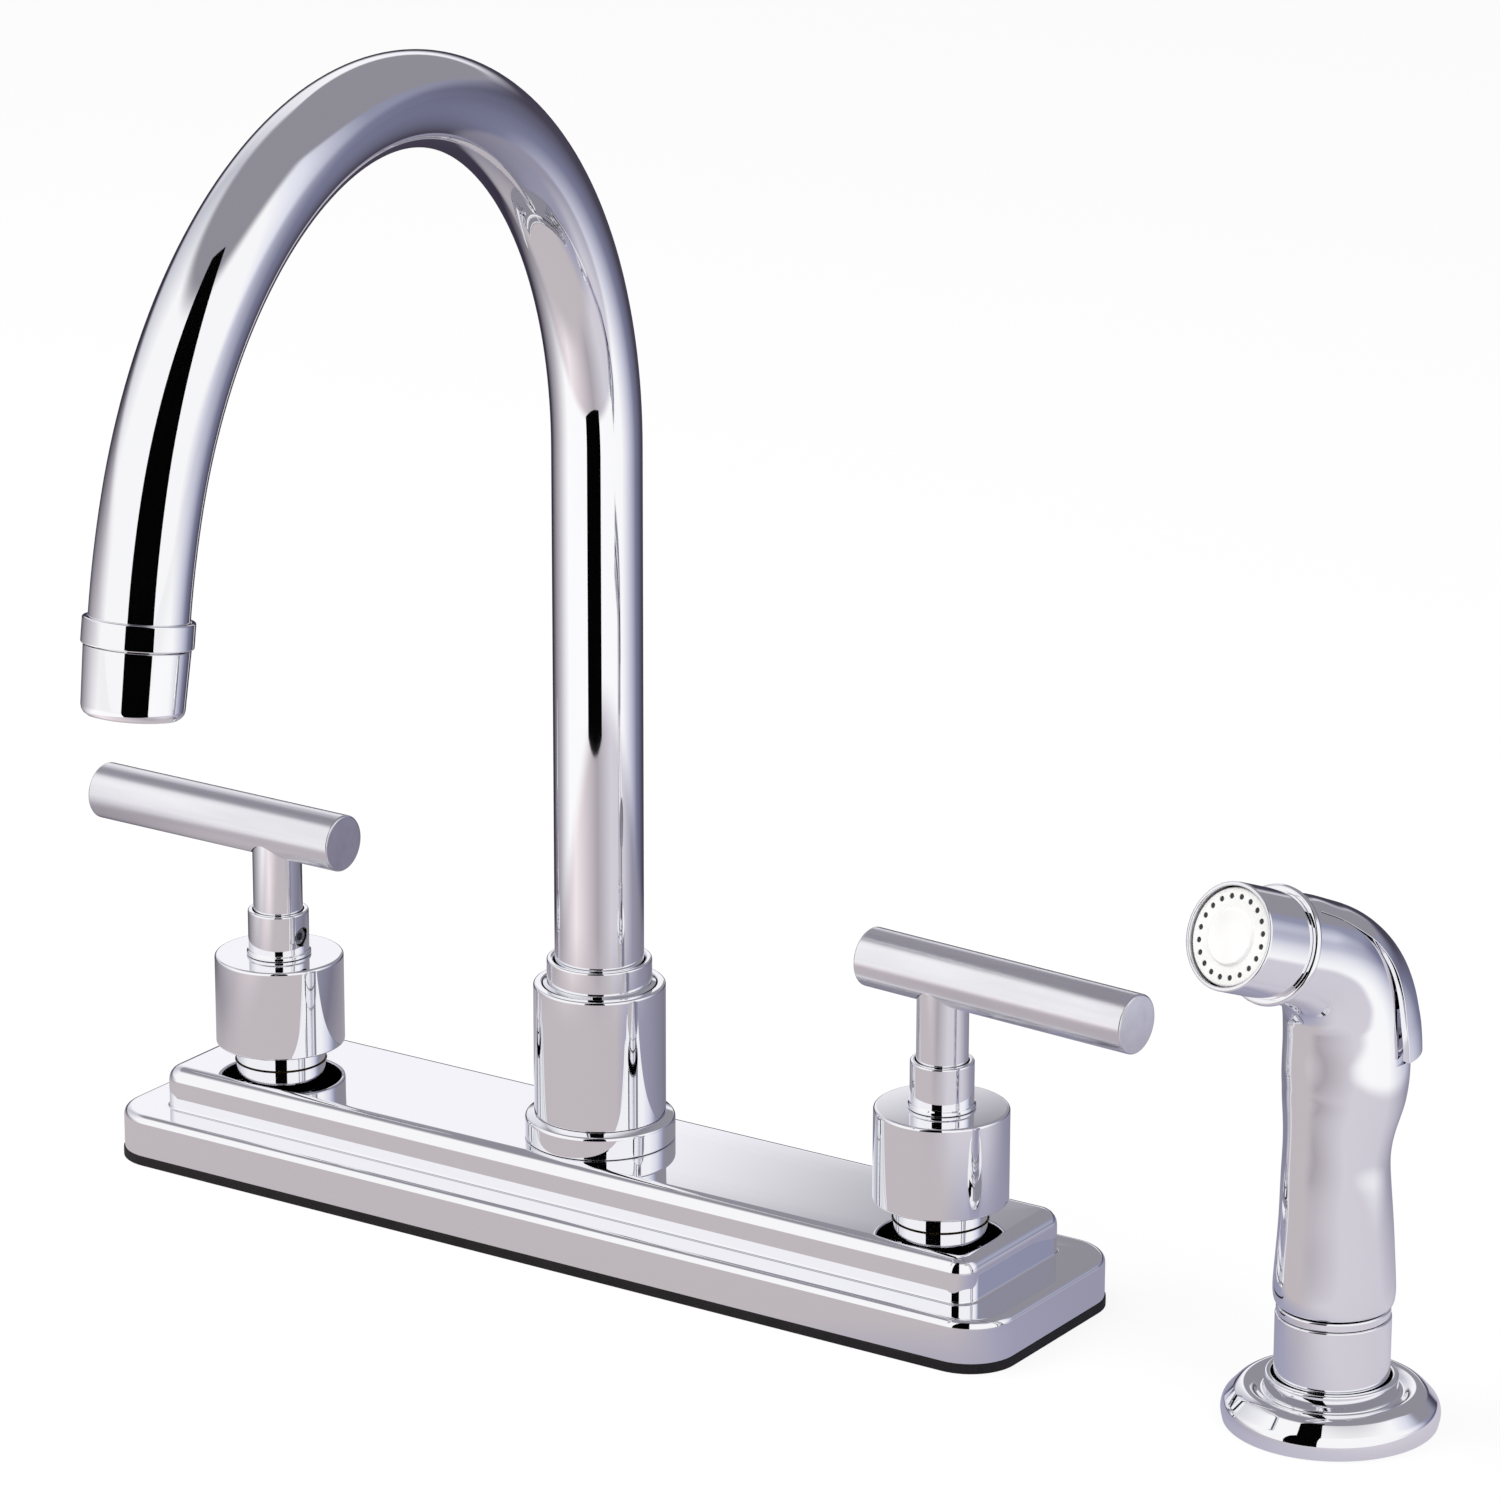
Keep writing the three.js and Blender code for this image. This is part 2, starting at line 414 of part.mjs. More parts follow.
// The tip's pieces stand on an axis of their own: its +Z points back up the tube.
const tip = group(moving, tailEnd.toArray(), [-tipTilt, 0, 0]);
const tipBore = spout.radius + slip;
const aeratorTop = -tipRing.length;
const tipRingShape = () => turned([[tipBore, tipRing.overlap], [tipRing.radius - tipRing.edge, tipRing.overlap],
  [tipRing.radius, tipRing.overlap - tipRing.edge], [tipRing.radius, aeratorTop + tipRing.edge],
  [tipRing.radius - tipRing.edge, aeratorTop], [spout.bore, aeratorTop], [spout.bore, -slip], [tipBore, -slip]]);
const aeratorHousing = () => {
  const [top, low] = [aeratorTop - slip, aeratorTop - aerator.length];
  const bore = aerator.foot - aerator.round;
  const spigot = spout.bore - slip;
  return turned([[bore, low], [aerator.foot - 0.6 * aerator.round, low + 0.2],
    [aerator.foot - 0.15 * aerator.round, low + 0.4 * aerator.round], [aerator.foot, low + aerator.round],
    [aerator.radius, top], [spigot, top], [spigot, top + aerator.spigot], [spigot - aerator.wall, top + aerator.spigot],
    [spigot - aerator.wall, low + aerator.round + 1], [bore, low + aerator.round]]);
};
const insertRadius = spout.bore - slip - aerator.wall - slip;
const aeratorInsert = () => {
  const low = aeratorTop - aerator.length + aerator.round + 1 + slip;
  const holes = Array.from({ length: insert.holes }, (_, i) => {
    const angle = 2 * Math.PI * i / insert.holes;
    return rodAt(insert.hole, low - 1, low + insert.height + 1, [0, 0, 0],
      [insert.holeCircle * Math.cos(angle), insert.holeCircle * Math.sin(angle), 0], 4);
  });
  return cut(turned([[0, low], [insertRadius, low], [insertRadius, low + insert.height],
    [insertRadius - insert.lip, low + insert.height], [insertRadius - insert.lip, low + insert.height / 2],
    [0, low + insert.height / 2]], coarse), ...holes);
};
const washerLow = aeratorTop - slip + aerator.spigot + seat;
piece(tip, 'spout_tip_ring', tipRingShape(), chrome());
piece(tip, 'aerator_housing', aeratorHousing(), chrome());
piece(tip, 'aerator_washer', tube(spout.bore - slip, insertRadius - 1, washerLow, -slip - seat, coarse), rubber());
piece(tip, 'aerator_insert', aeratorInsert(), acetal());

// ---------------------------------------------------------------- spray holder
const sprayBase = group(root, [sprayAt.x, sprayAt.y, 0], [0, 0, radians(sprayAt.turn)]);
const holderLow = holderGasket.thickness + seat;
const sprayHolder = () => turned([[holder.bore, holder.low], [holder.tube, holder.low], [holder.tube, holderLow],
  [holder.radius - holder.edge, holderLow], [holder.radius, holderLow + holder.bulge],
  [holder.radius - 0.6 * holder.edge, holder.shoulder + holderLow],
  [holder.crest + holder.crestWidth, holder.crestHeight - holder.edge], [holder.crest, holder.crestHeight],
  [holder.crest - holder.crestWidth, holder.crestHeight - 0.5 * holder.edge], [holder.valley, holder.valleyHeight],
  [holder.lip, holder.valleyHeight + holder.edge], [holder.lip, holder.lipHeight - holder.edge],
  [holder.lip - holder.edge, holder.lipHeight], [holder.cupRadius, holder.lipHeight - 0.25 * holder.edge],
  [holder.cupRadius, holder.cupFloor], [holder.bore, holder.cupFloor]]);
piece(sprayBase, 'spray_holder', sprayHolder(), chrome());
piece(sprayBase, 'spray_holder_gasket', tube(holderGasket.radius, holder.tube + slip, 0, holderGasket.thickness),
  rubber());
piece(sprayBase, 'spray_holder_nut', lobedNut(holder.tube + slip, -sinkThickness), acetal());

// ---------------------------------------------------------------- hand spray
// The spray faces -Y in its own frame. Its spine climbs the grip and bends over into the head.
const bendCentre = [neck.at - neck.radius, neck.bendFrom];
const onBend = (degrees) => new THREE.Vector3(0, bendCentre[0] + neck.radius * Math.cos(radians(degrees)),
  bendCentre[1] + neck.radius * Math.sin(radians(degrees)));
const bendAngle = 90 - neck.headTilt;
const headAxis = new THREE.Vector3(0, -Math.cos(radians(neck.headTilt)), Math.sin(radians(neck.headTilt)));
const headCentre = onBend(bendAngle).addScaledVector(headAxis, neck.straight);
const spine = new THREE.CatmullRomCurve3([new THREE.Vector3(0, 0, grip.low), new THREE.Vector3(0, 0, 48),
  new THREE.Vector3(0, -0.6, 66), new THREE.Vector3(0, 0.2, 76), new THREE.Vector3(0, neck.at, 86),
  onBend(0), onBend(bendAngle / 3), onBend(2 * bendAngle / 3), onBend(bendAngle), headCentre]);
const spineLength = spine.getLength();

// Each row: distance along the spine, then the section's half width, its front and its back.
const bodySections = [[0, 13.9, 13.9, 13.9], [3, 14.5, 14.5, 14.5], [8, 14.3, 14.3, 14.2], [22, 13.4, 13.4, 13.3],
  [36, 12.7, 12.7, 12.5], [42, 12.6, 12.7, 12.3], [48, 14, 13.7, 14], [54, 14.9, 15, 14.8], [64, 14.9, 15.2, 14.4],
  [80, 14.3, 14.4, 13.6], [92, 13.5, 13.8, 13], [110, 13, 13, 12.8]];
// Each row: distance along the spine, the lever's outer radius, and how far back its side edges lie.
const leverSections = [[60, 17.5, 2.6], [68, 17.2, 2.4], [73, 16.7, 2.8], [78, 16.2, 4.2], [83, 15.5, 6.4],
  [88, 14.4, 8.1], [93, 13.4, 8.9], [98, 13, 9.7], [110, 12.8, 11]];
const along = (rows, distance, column) => {
  const next = Math.max(1, rows.findIndex((row) => row[0] >= distance));
  const [low, high] = [rows[next - 1], rows[next]];
  return THREE.MathUtils.mapLinear(distance, low[0], high[0], low[column], high[column]);
};
// Bends an upright unit form along a stretch of the spine; `place` gives each point's side and back offsets.
const swept = (geometry, from, to, place, turn) => {
  const position = geometry.getAttribute('position');
  for (let i = 0; i < position.count; i += 1) {
    const distance = THREE.MathUtils.lerp(from, to, position.getY(i) + 0.5);
    const point = spine.getPointAt(distance / spineLength);
    const back = spine.getTangentAt(distance / spineLength).cross(new THREE.Vector3(1, 0, 0));
    const [side, out] = place(position.getX(i), position.getZ(i), distance);
    point.addScaledVector(back, out);
    position.setXYZ(i, side, point.y, point.z);
  }
  return solid(turn ? geometry.applyMatrix4(turn) : geometry);
};
const sweptRound = (from, to, steps, section, turn) => swept(new THREE.CylinderGeometry(1, 1, 1, fine, steps),
  from, to, (x, z, distance) => {
    const [half, front, rear] = section(distance);
    return [x * half, z * (z > 0 ? rear : front)];
  }, turn);
const around = (radius) => [radius, radius, radius];

const pinPoint = spine.getPointAt(leverPin.at / spineLength).addScaledVector(
  spine.getTangentAt(leverPin.at / spineLength).cross(new THREE.Vector3(1, 0, 0)), leverPin.offset);
const acrossPin = (radius, length, sides) => rodAt(radius, -length / 2, length / 2, [0, Math.PI / 2, 0],
  pinPoint.toArray(), sides);

// The valve stem's nose reaches up to the inside of the lever.
const leverInside = neck.radius + along(leverSections, valve.leverAt, 1) - lever.thickness;
const stemTop = neck.bendFrom - 2 * slip + Math.sqrt(leverInside ** 2 - (valve.at + valve.nose - bendCentre[0]) ** 2);

// The lever's shell behind the spine, grown all round by a play and pressed in by some degrees.
const leverShell = (play, degrees) => {
  const steps = 9;
  const [from, to] = [lever.from - play, lever.to + play];
  const outside = (distance) => along(leverSections, distance, 1) + play;
  const inside = (distance) => along(leverSections, distance, 1) - lever.thickness - play;
  const turn = new THREE.Matrix4().makeTranslation(...pinPoint.toArray())
    .multiply(new THREE.Matrix4().makeRotationX(-radians(degrees)))
    .multiply(new THREE.Matrix4().makeTranslation(...pinPoint.clone().negate().toArray()));
  const shell = cut(sweptRound(from, to, steps, (d) => around(outside(d)), turn),
    sweptRound(from - 2, to + 2, steps, (d) => around(inside(d)), turn));
  const behind = swept(new THREE.BoxGeometry(1, 1, 1, 1, steps, 1), from - 1, to + 1,
    (x, z, d) => [4 * x * outside(d), z > 0 ? 2 * outside(d) : along(leverSections, d, 2) - play], turn);
  return shell.intersect(behind);
};
// The lug under the lever's roof that the pin passes through.
const leverLug = (play, degrees) => {
  const reach = leverPin.radius + slip + leverPin.wall + play;
  const roof = new THREE.BoxGeometry(lever.lug + 2 * play, 2 * reach, 2 * reach)
    .applyMatrix4(new THREE.Matrix4().makeRotationX(radians(bendAngle - degrees)).setPosition(pinPoint));
  return solid(roof);
};
const sprayBody = () => {
  const outside = sweptRound(0, spineLength, 18, (d) => [1, 2, 3].map((column) => along(bodySections, d, column)));
  const pockets = [0, lever.travel / 2, lever.travel].flatMap((degrees) => [leverShell(lever.play, degrees),
    leverLug(lever.play, degrees)]);
  return cut(outside, ...pockets,
    rodAt(grip.shoulderBore, grip.low - 1, grip.shoulderAt + 1, [0, 0, 0], [0, 0, 0]),
    rodAt(grip.valveBore, grip.shoulderAt, grip.boreTop, [0, 0, 0], [0, grip.boreAt, 0]),
    rodAt(neck.bore, -neck.radius - 2, 1, [radians(bendAngle), 0, 0], headCentre.toArray()),
    rodAt(valve.rod + slip, grip.boreTop - 1, stemTop + 9, [0, 0, 0], [0, valve.at, 0], 10),
    acrossPin(leverPin.radius + slip, leverPin.length + 2 * slip, coarse));
};
const sprayLever = () => cut(union(leverShell(0, 0), leverLug(0, 0)),
  acrossPin(leverPin.radius + slip, leverPin.length + 2 * slip, coarse));
const spray = group(sprayBase, [0, 0, 0]);
piece(spray, 'spray_base_collar', turned([[sprayFoot.bore, sprayFoot.low],
  [sprayFoot.radius - sprayFoot.edge, sprayFoot.low], [sprayFoot.radius, sprayFoot.low + sprayFoot.edge],
  [sprayFoot.radius, sprayFoot.top - sprayFoot.edge], [sprayFoot.radius - sprayFoot.edge, sprayFoot.top],
  [sprayFoot.bore, sprayFoot.top]]), chrome());
piece(spray, 'spray_trim_ring', tube(trimRing.radius, inlet.plug + slip, sprayFoot.top + seat,
  sprayFoot.top + seat + trimRing.height), chrome());
const inletFlange = sprayFoot.top - slip - inlet.flangeHeight;
piece(spray, 'spray_inlet', turned([[inlet.bore, inlet.low], [inlet.radius, inlet.low], [inlet.radius, inletFlange],
  [inlet.flange, inletFlange], [inlet.flange, inletFlange + inlet.flangeHeight],
  [grip.shoulderBore - slip, inletFlange + inlet.flangeHeight], [grip.shoulderBore - slip, grip.low + inlet.plugHeight],
  [inlet.bore, grip.low + inlet.plugHeight]], coarse), brass());
piece(spray, 'spray_body', sprayBody(), chrome());
piece(spray, 'spray_lever', sprayLever(), chrome());
piece(spray, 'spray_lever_pin', acrossPin(leverPin.radius, leverPin.length, coarse), steel());

const valveStem = () => union(
  solid(turnedGeometry([[0, valve.rodLow], [valve.rod, valve.rodLow], [valve.rod, stemTop - valve.rod],
    [valve.nose, stemTop], [0, stemTop]], 10).translate(0, valve.at, 0)),
  rodAt(valve.disc, valve.discTop - valve.discHeight, valve.discTop, [0, 0, 0], [0, grip.boreAt, 0]));
piece(spray, 'spray_valve_stem', valveStem(), plastic());
const valveRing = group(spray, [0, grip.boreAt, 0]);
piece(valveRing, 'spray_valve_seat', tube(grip.valveBore - slip, valve.seatBore, valve.seatLow,
  valve.seatLow + valve.seatHeight, coarse), rubber());
piece(valveRing, 'spray_valve_spring', tube(spring.outer, spring.inner, grip.shoulderAt + slip,
  valve.discTop - valve.discHeight - slip, coarse), steel());

// The head's pieces stand on the head's axis: its +Z points out of the spray face.
const head = group(spray, headCentre.toArray(), [radians(bendAngle), 0, 0]);
piece(head, 'spray_seam_ring', tube(seam.radius, neck.bore, seat, seat + seam.width), chrome());
const nozzleLow = seat + seam.width + seat;
piece(head, 'spray_nozzle_collar', turned([[neck.bore, nozzleLow], [nozzle.radius, nozzleLow],
  [nozzle.radius, nozzle.length - nozzle.edge], [nozzle.radius - nozzle.edge, nozzle.length],
  [nozzle.bore, nozzle.length], [nozzle.bore, nozzleLow + nozzle.web], [neck.bore, nozzleLow + nozzle.web]]), chrome());
const sprayFace = () => {
  const top = nozzle.length - face.recess;
  const low = top - face.thickness;
  const holes = Array.from({ length: face.holes }, (_, i) => {
    const angle = 2 * Math.PI * i / face.holes;
    return rodAt(face.hole, low - 1, top + 1, [0, 0, 0],
      [face.holeCircle * Math.cos(angle), face.holeCircle * Math.sin(angle), 0], 5);
  });
  return cut(union(rod(nozzle.bore - slip, low, top), rod(face.centre, low, top + face.centreRise)), ...holes);
};
piece(head, 'spray_face', sprayFace(), acetal());

export default root;
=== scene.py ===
# Side spray kitchen faucet: a stepped chrome plate, two lever handles, a gooseneck spout and a hand spray.
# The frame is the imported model: metres, +Z up. Sizes in the dictionaries are millimetres and degrees.
import json
from math import acos, cos, pi, radians, sin
import bpy
import bmesh
from mathutils import Matrix, Vector


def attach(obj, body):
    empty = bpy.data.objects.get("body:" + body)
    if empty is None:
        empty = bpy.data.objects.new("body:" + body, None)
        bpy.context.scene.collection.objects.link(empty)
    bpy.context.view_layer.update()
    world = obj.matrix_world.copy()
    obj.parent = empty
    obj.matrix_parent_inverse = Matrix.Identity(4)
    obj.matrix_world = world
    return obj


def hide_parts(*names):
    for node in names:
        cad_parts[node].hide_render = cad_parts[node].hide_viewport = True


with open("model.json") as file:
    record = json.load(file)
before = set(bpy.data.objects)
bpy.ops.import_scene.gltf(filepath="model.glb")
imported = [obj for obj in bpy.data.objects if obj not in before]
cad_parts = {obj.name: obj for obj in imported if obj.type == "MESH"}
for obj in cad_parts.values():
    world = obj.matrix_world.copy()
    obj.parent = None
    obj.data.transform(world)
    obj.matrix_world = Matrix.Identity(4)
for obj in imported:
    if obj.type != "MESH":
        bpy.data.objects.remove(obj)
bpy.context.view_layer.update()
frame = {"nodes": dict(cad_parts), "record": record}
mm = 0.001
made = []


# An sRGB hex colour as the linear one that a shader takes.
def linear(colour):
    parts = [int(colour[i:i + 2], 16) / 255 for i in (1, 3, 5)]
    return [p / 12.92 if p <= 0.04045 else ((p + 0.055) / 1.055) ** 2.4 for p in parts] + [1]


def addNode(tree, kind, inputs=None, **settings):
    node = tree.nodes.new(kind)
    for key, value in settings.items():
        setattr(node, key, value)
    for key, value in (inputs or {}).items():
        if isinstance(value, bpy.types.NodeSocket):
            tree.links.new(value, node.inputs[key])
        else:
            node.inputs[key].default_value = value
    return node


def moved(x, y, z, turn=0):
    return Matrix.Translation((x, y, z)) @ Matrix.Rotation(radians(turn), 4, "Z")


# Reads a table of evenly spaced rows at t from 0 to 1, with a smooth curve through them.
def readRows(rows, t):
    last = len(rows) - 1
    at = min(max(t, 0), 1) * last
    i = min(int(at), last - 1)
    u = at - i
    a, b, c, d = (rows[min(max(i + k, 0), last)] for k in (-1, 0, 1, 2))
    return [0.5 * (2 * q + (r - p) * u + (2 * p - 5 * q + 4 * r - s) * u ** 2
                   + (3 * q - p - 3 * r + s) * u ** 3)
            for p, q, r, s in zip(a, b, c, d)]


# Reads a table whose first column is a distance; a smooth step from row to row.
def readAt(rows, distance):
    rows = [rows[0], *rows, rows[-1]]
    i = 1
    while i < len(rows) - 3 and rows[i + 1][0] < distance:
        i += 1
    a, b, c, d = rows[i - 1:i + 3]
    u = min(max((distance - b[0]) / (c[0] - b[0]), 0), 1)
    out = []
    for p, q, r, s in zip(a[1:], b[1:], c[1:], d[1:]):
        before = (r - p) / (c[0] - a[0]) * (c[0] - b[0])
        after = (s - q) / (d[0] - b[0]) * (c[0] - b[0])
        out.append(q + before * u + (3 * (r - q) - 2 * before - after) * u ** 2
                   + (2 * (q - r) + before + after) * u ** 3)
    return out


# A wire of [radius, height, rounding] points, rounded where a third number is given, turned about Z.
def turnProfile(profile, sides=96, closed=True):
    shape = bmesh.new()
    points = [shape.verts.new((row[0], 0, row[1])) for row in profile]
    for a, b in zip(points, points[1:] + points[:1] if closed else points[1:]):
        shape.edges.new((a, b))
    for point, row in zip(points, profile):
        if len(row) > 2:
            bmesh.ops.bevel(shape, geom=[point], offset=row[2], offset_type="OFFSET", segments=4,
                            profile=0.5, affect="VERTICES", material=-1)
    bmesh.ops.spin(shape, geom=shape.verts[:] + shape.edges[:], cent=(0, 0, 0), axis=(0, 0, 1),
                   angle=2 * pi, steps=sides, use_merge=True)
    bmesh.ops.remove_doubles(shape, verts=shape.verts, dist=1e-4)
    bmesh.ops.recalc_face_normals(shape, faces=shape.faces)
    return shape


# A block whose upright corners and top edge are rounded.
def roundedBlock(length, depth, corner, low, top, edge=0):
    shape = bmesh.new()
    bmesh.ops.create_cube(shape, size=1)
    bmesh.ops.scale(shape, vec=(length, depth, top - low), verts=shape.verts)
    bmesh.ops.translate(shape, vec=(0, 0, (top + low) / 2), verts=shape.verts)
    upright = [e for e in shape.edges if abs(e.verts[0].co.z - e.verts[1].co.z) > 0.1]
    bmesh.ops.bevel(shape, geom=upright, offset=corner, offset_type="OFFSET", segments=14,
                    profile=0.5, affect="EDGES", material=-1)
    if edge:
        rim = [e for e in shape.edges if all(abs(v.co.z - top) < 1e-4 for v in e.verts)]
        bmesh.ops.bevel(shape, geom=rim, offset=edge, offset_type="OFFSET", segments=6,
                        profile=0.5, affect="EDGES", material=-1)
    return shape


def rodShape(radius, low, high, sides=64, edge=0):
    end = [[radius, low, edge], [radius, high, edge]] if edge else [[radius, low], [radius, high]]
    return turnProfile([[0, low], *end, [0, high]], sides, closed=False)


# Adds one shape to another, as a shell of its own.
def join(shape, other, matrix=Matrix.Identity(4)):
    bmesh.ops.transform(other, matrix=matrix, verts=other.verts)
    mesh = bpy.data.meshes.new("joined")
    other.to_mesh(mesh)
    other.free()
    shape.from_mesh(mesh)
    bpy.data.meshes.remove(mesh)
    return shape


# Rods that stand evenly on a circle.
def rodCircle(circle, count, radius, low, high, sides):
    rods = bmesh.new()
    for i in range(count):
        angle = 2 * pi * i / count
        join(rods, rodShape(radius, low, high, sides),
             Matrix.Translation((circle * cos(angle), circle * sin(angle), 0)))
    return rods


def asObject(shape, name="cutter"):
    mesh = bpy.data.meshes.new(name)
    shape.to_mesh(mesh)
    shape.free()
    thing = bpy.data.objects.new(name, mesh)
    bpy.context.scene.collection.objects.link(thing)
    return thing


# Cuts shapes out of a shape, or adds them with operation="UNION", and gives the result as a bmesh.
def carve(shape, cutters, operation="DIFFERENCE"):
    whole = asObject(shape, "carved")
    tools = [asObject(cutter) for cutter in cutters]
    for tool in tools:
        step = whole.modifiers.new("cut", "BOOLEAN")
        step.object, step.operation, step.solver = tool, operation, "EXACT"
    evaluated = whole.evaluated_get(bpy.context.evaluated_depsgraph_get())
    result = bmesh.new()
    result.from_mesh(evaluated.to_mesh())
    evaluated.to_mesh_clear()
    for thing in [whole, *tools]:
        mesh = thing.data
        bpy.data.objects.remove(thing)
        bpy.data.meshes.remove(mesh)
    bmesh.ops.remove_doubles(result, verts=result.verts, dist=1e-3)
    bmesh.ops.dissolve_degenerate(result, dist=1e-3, edges=result.edges)
    return result


# Turns a shape in millimetres into a finished piece that rides its body and stands for its node.
def makePiece(node, shape, material, matrix=Matrix.Identity(4), name=None, sharp=32, edge=0):
    bmesh.ops.transform(shape, matrix=Matrix.Scale(mm, 4) @ matrix, verts=shape.verts)
    mesh = bpy.data.meshes.new(name or node + "_form")
    shape.to_mesh(mesh)
    shape.free()
    mesh.shade_smooth()
    mesh.set_sharp_from_angle(angle=radians(sharp))
    mesh.materials.append(material)
    piece = bpy.data.objects.new(name or node + "_form", mesh)
    bpy.context.scene.collection.objects.link(piece)
    if edge:
        rounding = piece.modifiers.new("rounding", "BEVEL")
        rounding.width, rounding.segments, rounding.limit_method = edge * mm, 3, "ANGLE"
        rounding.angle_limit = radians(40)
        rounding.harden_normals = False
    even = piece.modifiers.new("even", "WEIGHTED_NORMAL")
    even.keep_sharp, even.weight = True, 100
    body = next(b for b, members in frame["record"]["behaviour"]["bodies"].items() if node in members)
    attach(piece, body)
    if not name:
        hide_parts(node)
    made.append(node)
    return piece


view = {"azimuth": 33.672, "elevation": 17.403, "roll": 0.134, "distance": 1.6151,
        "target": (0.045242, 0, 0.134328), "lens": 158.64}


def makeCamera():
    a, e, r = (radians(view[key]) for key in ("azimuth", "elevation", "roll"))
    back = Vector((sin(a) * cos(e), -cos(a) * cos(e), sin(e)))
    right = Vector((cos(a), sin(a), 0))
    up = back.cross(right)
    right, up = right * cos(r) + up * sin(r), up * cos(r) - right * sin(r)
    data = bpy.data.cameras.new("camera")
    data.lens, data.sensor_width, data.clip_start = view["lens"], 36, 0.01
    camera = bpy.data.objects.new("camera", data)
    turn = Matrix((right, up, back)).transposed().to_4x4()
    camera.matrix_world = Matrix.Translation(Vector(view["target"]) + view["distance"] * back) @ turn
    bpy.context.scene.collection.objects.link(camera)
    bpy.context.scene.camera = camera


makeCamera()
print("camera placed")

# A pale tent as the metal mirrors it, with angles from the user's side (-Y) towards +X. The walls change
# colour round the tap, the floor glows in the metal with painted shade that changes round the tap, grey
# openings lie overhead and behind, and a black card stands at the front right. The camera itself sees plain
# white.
studio = {"walls": [(-180, "#8a8a9c"), (-163, "#f6f6fc"), (-138, "#fdfcff"), (-112, "#c6c6d0"),
                    (-60, "#ffffff"), (116, "#ffffff"), (132, "#e2e4f0"), (148, "#9396ac"), (180, "#8a8a9c")],
          # the floor rows are painted shade of the white floor as the metal mirrors it: darker round the
          # tap's foot, behind, and towards the black card
          "farFloorShading": [(-180, "#4a4654"), (-115, "#383242"), (-75, "#b8b4ba"), (-42, "#ffffff"),
                       (100, "#ffffff"), (124, "#cccddc"), (148, "#7c7e98"), (180, "#4a4654")],
          "nearFloorShading": [(-180, "#86848f"), (-85, "#8a8590"), (-25, "#f4eaec"), (32, "#aca5ab"),
                        (66, "#d6d2d9"), (100, "#d2cfd8"), (128, "#9a97a8"), (180, "#7a7884")],
          "footFloorShading": [(-180, "#7c7a8a"), (-80, "#c2bbbe"), (62, "#c2bbbe"), (82, "#a6a5ba"),
                        (180, "#7c7a8a")],
          "footFrom": 0.17, "footTo": 0.26,     # metres from the middle where the foot's floor gives way
          "farCentre": (0.1, -0.08, 0), "farFrom": 0.31, "farTo": 0.38,
          "lowFrom": 0.05, "lowTo": 0.22,       # how high the walls begin, as a share of straight up
          # the openings' azimuth, elevation, inner and outer reach
          "openings": [(-165, 76, 34, 45), (-178, 44, 32.5, 36)], "grey": "#939199",
          "ambient": 0.55, "floorSize": 4, "floorMatt": "#e8e6e8", "floorGlow": 0.85, "floorCamera": 0.87,
          "aim": (0.04, 0, 0.12), "keyPower": 22, "keyAt": (-0.9, -0.6, 1.5), "keySize": 1.2,
          "fillPower": 9, "fillAt": (1.3, -0.5, 1.1), "fillSize": 1.0}
darkCard = {"azimuth": 27, "distance": 0.415, "width": 0.255, "high": 1.25, "lift": 0.001,
            "black": "#040404", "roughness": 0.9}


# Colours that change with the angle round the tap, from stops of angle and colour.
def aroundRamp(tree, place, stops):
    parts = addNode(tree, "ShaderNodeSeparateXYZ", {0: place}).outputs
    front = addNode(tree, "ShaderNodeMath", {0: parts["Y"], 1: -1}, operation="MULTIPLY").outputs[0]
    angle = addNode(tree, "ShaderNodeMath", {0: parts["X"], 1: front}, operation="ARCTAN2").outputs[0]
    share = addNode(tree, "ShaderNodeMapRange", {"Value": angle, "From Min": -pi, "From Max": pi})
    ramp = addNode(tree, "ShaderNodeValToRGB", {"Fac": share.outputs["Result"]})
    stopsIn = ramp.color_ramp.elements
    stopsIn[0].color, stopsIn[1].color = linear(stops[0][1]), linear(stops[-1][1])
    for degrees, colour in stops[1:-1]:
        stopsIn.new((degrees + 180) / 360).color = linear(colour)
    return ramp.outputs["Color"]


# Goes smoothly from one colour to another as a value passes between two limits.
def fade(tree, value, low, high, first, second):
    share = addNode(tree, "ShaderNodeMapRange", {"Value": value, "From Min": low, "From Max": high},
                    interpolation_type="SMOOTHSTEP")
    return addNode(tree, "ShaderNodeMix", {"Factor": share.outputs["Result"], "A": first, "B": second},
                   data_type="RGBA").outputs[2]


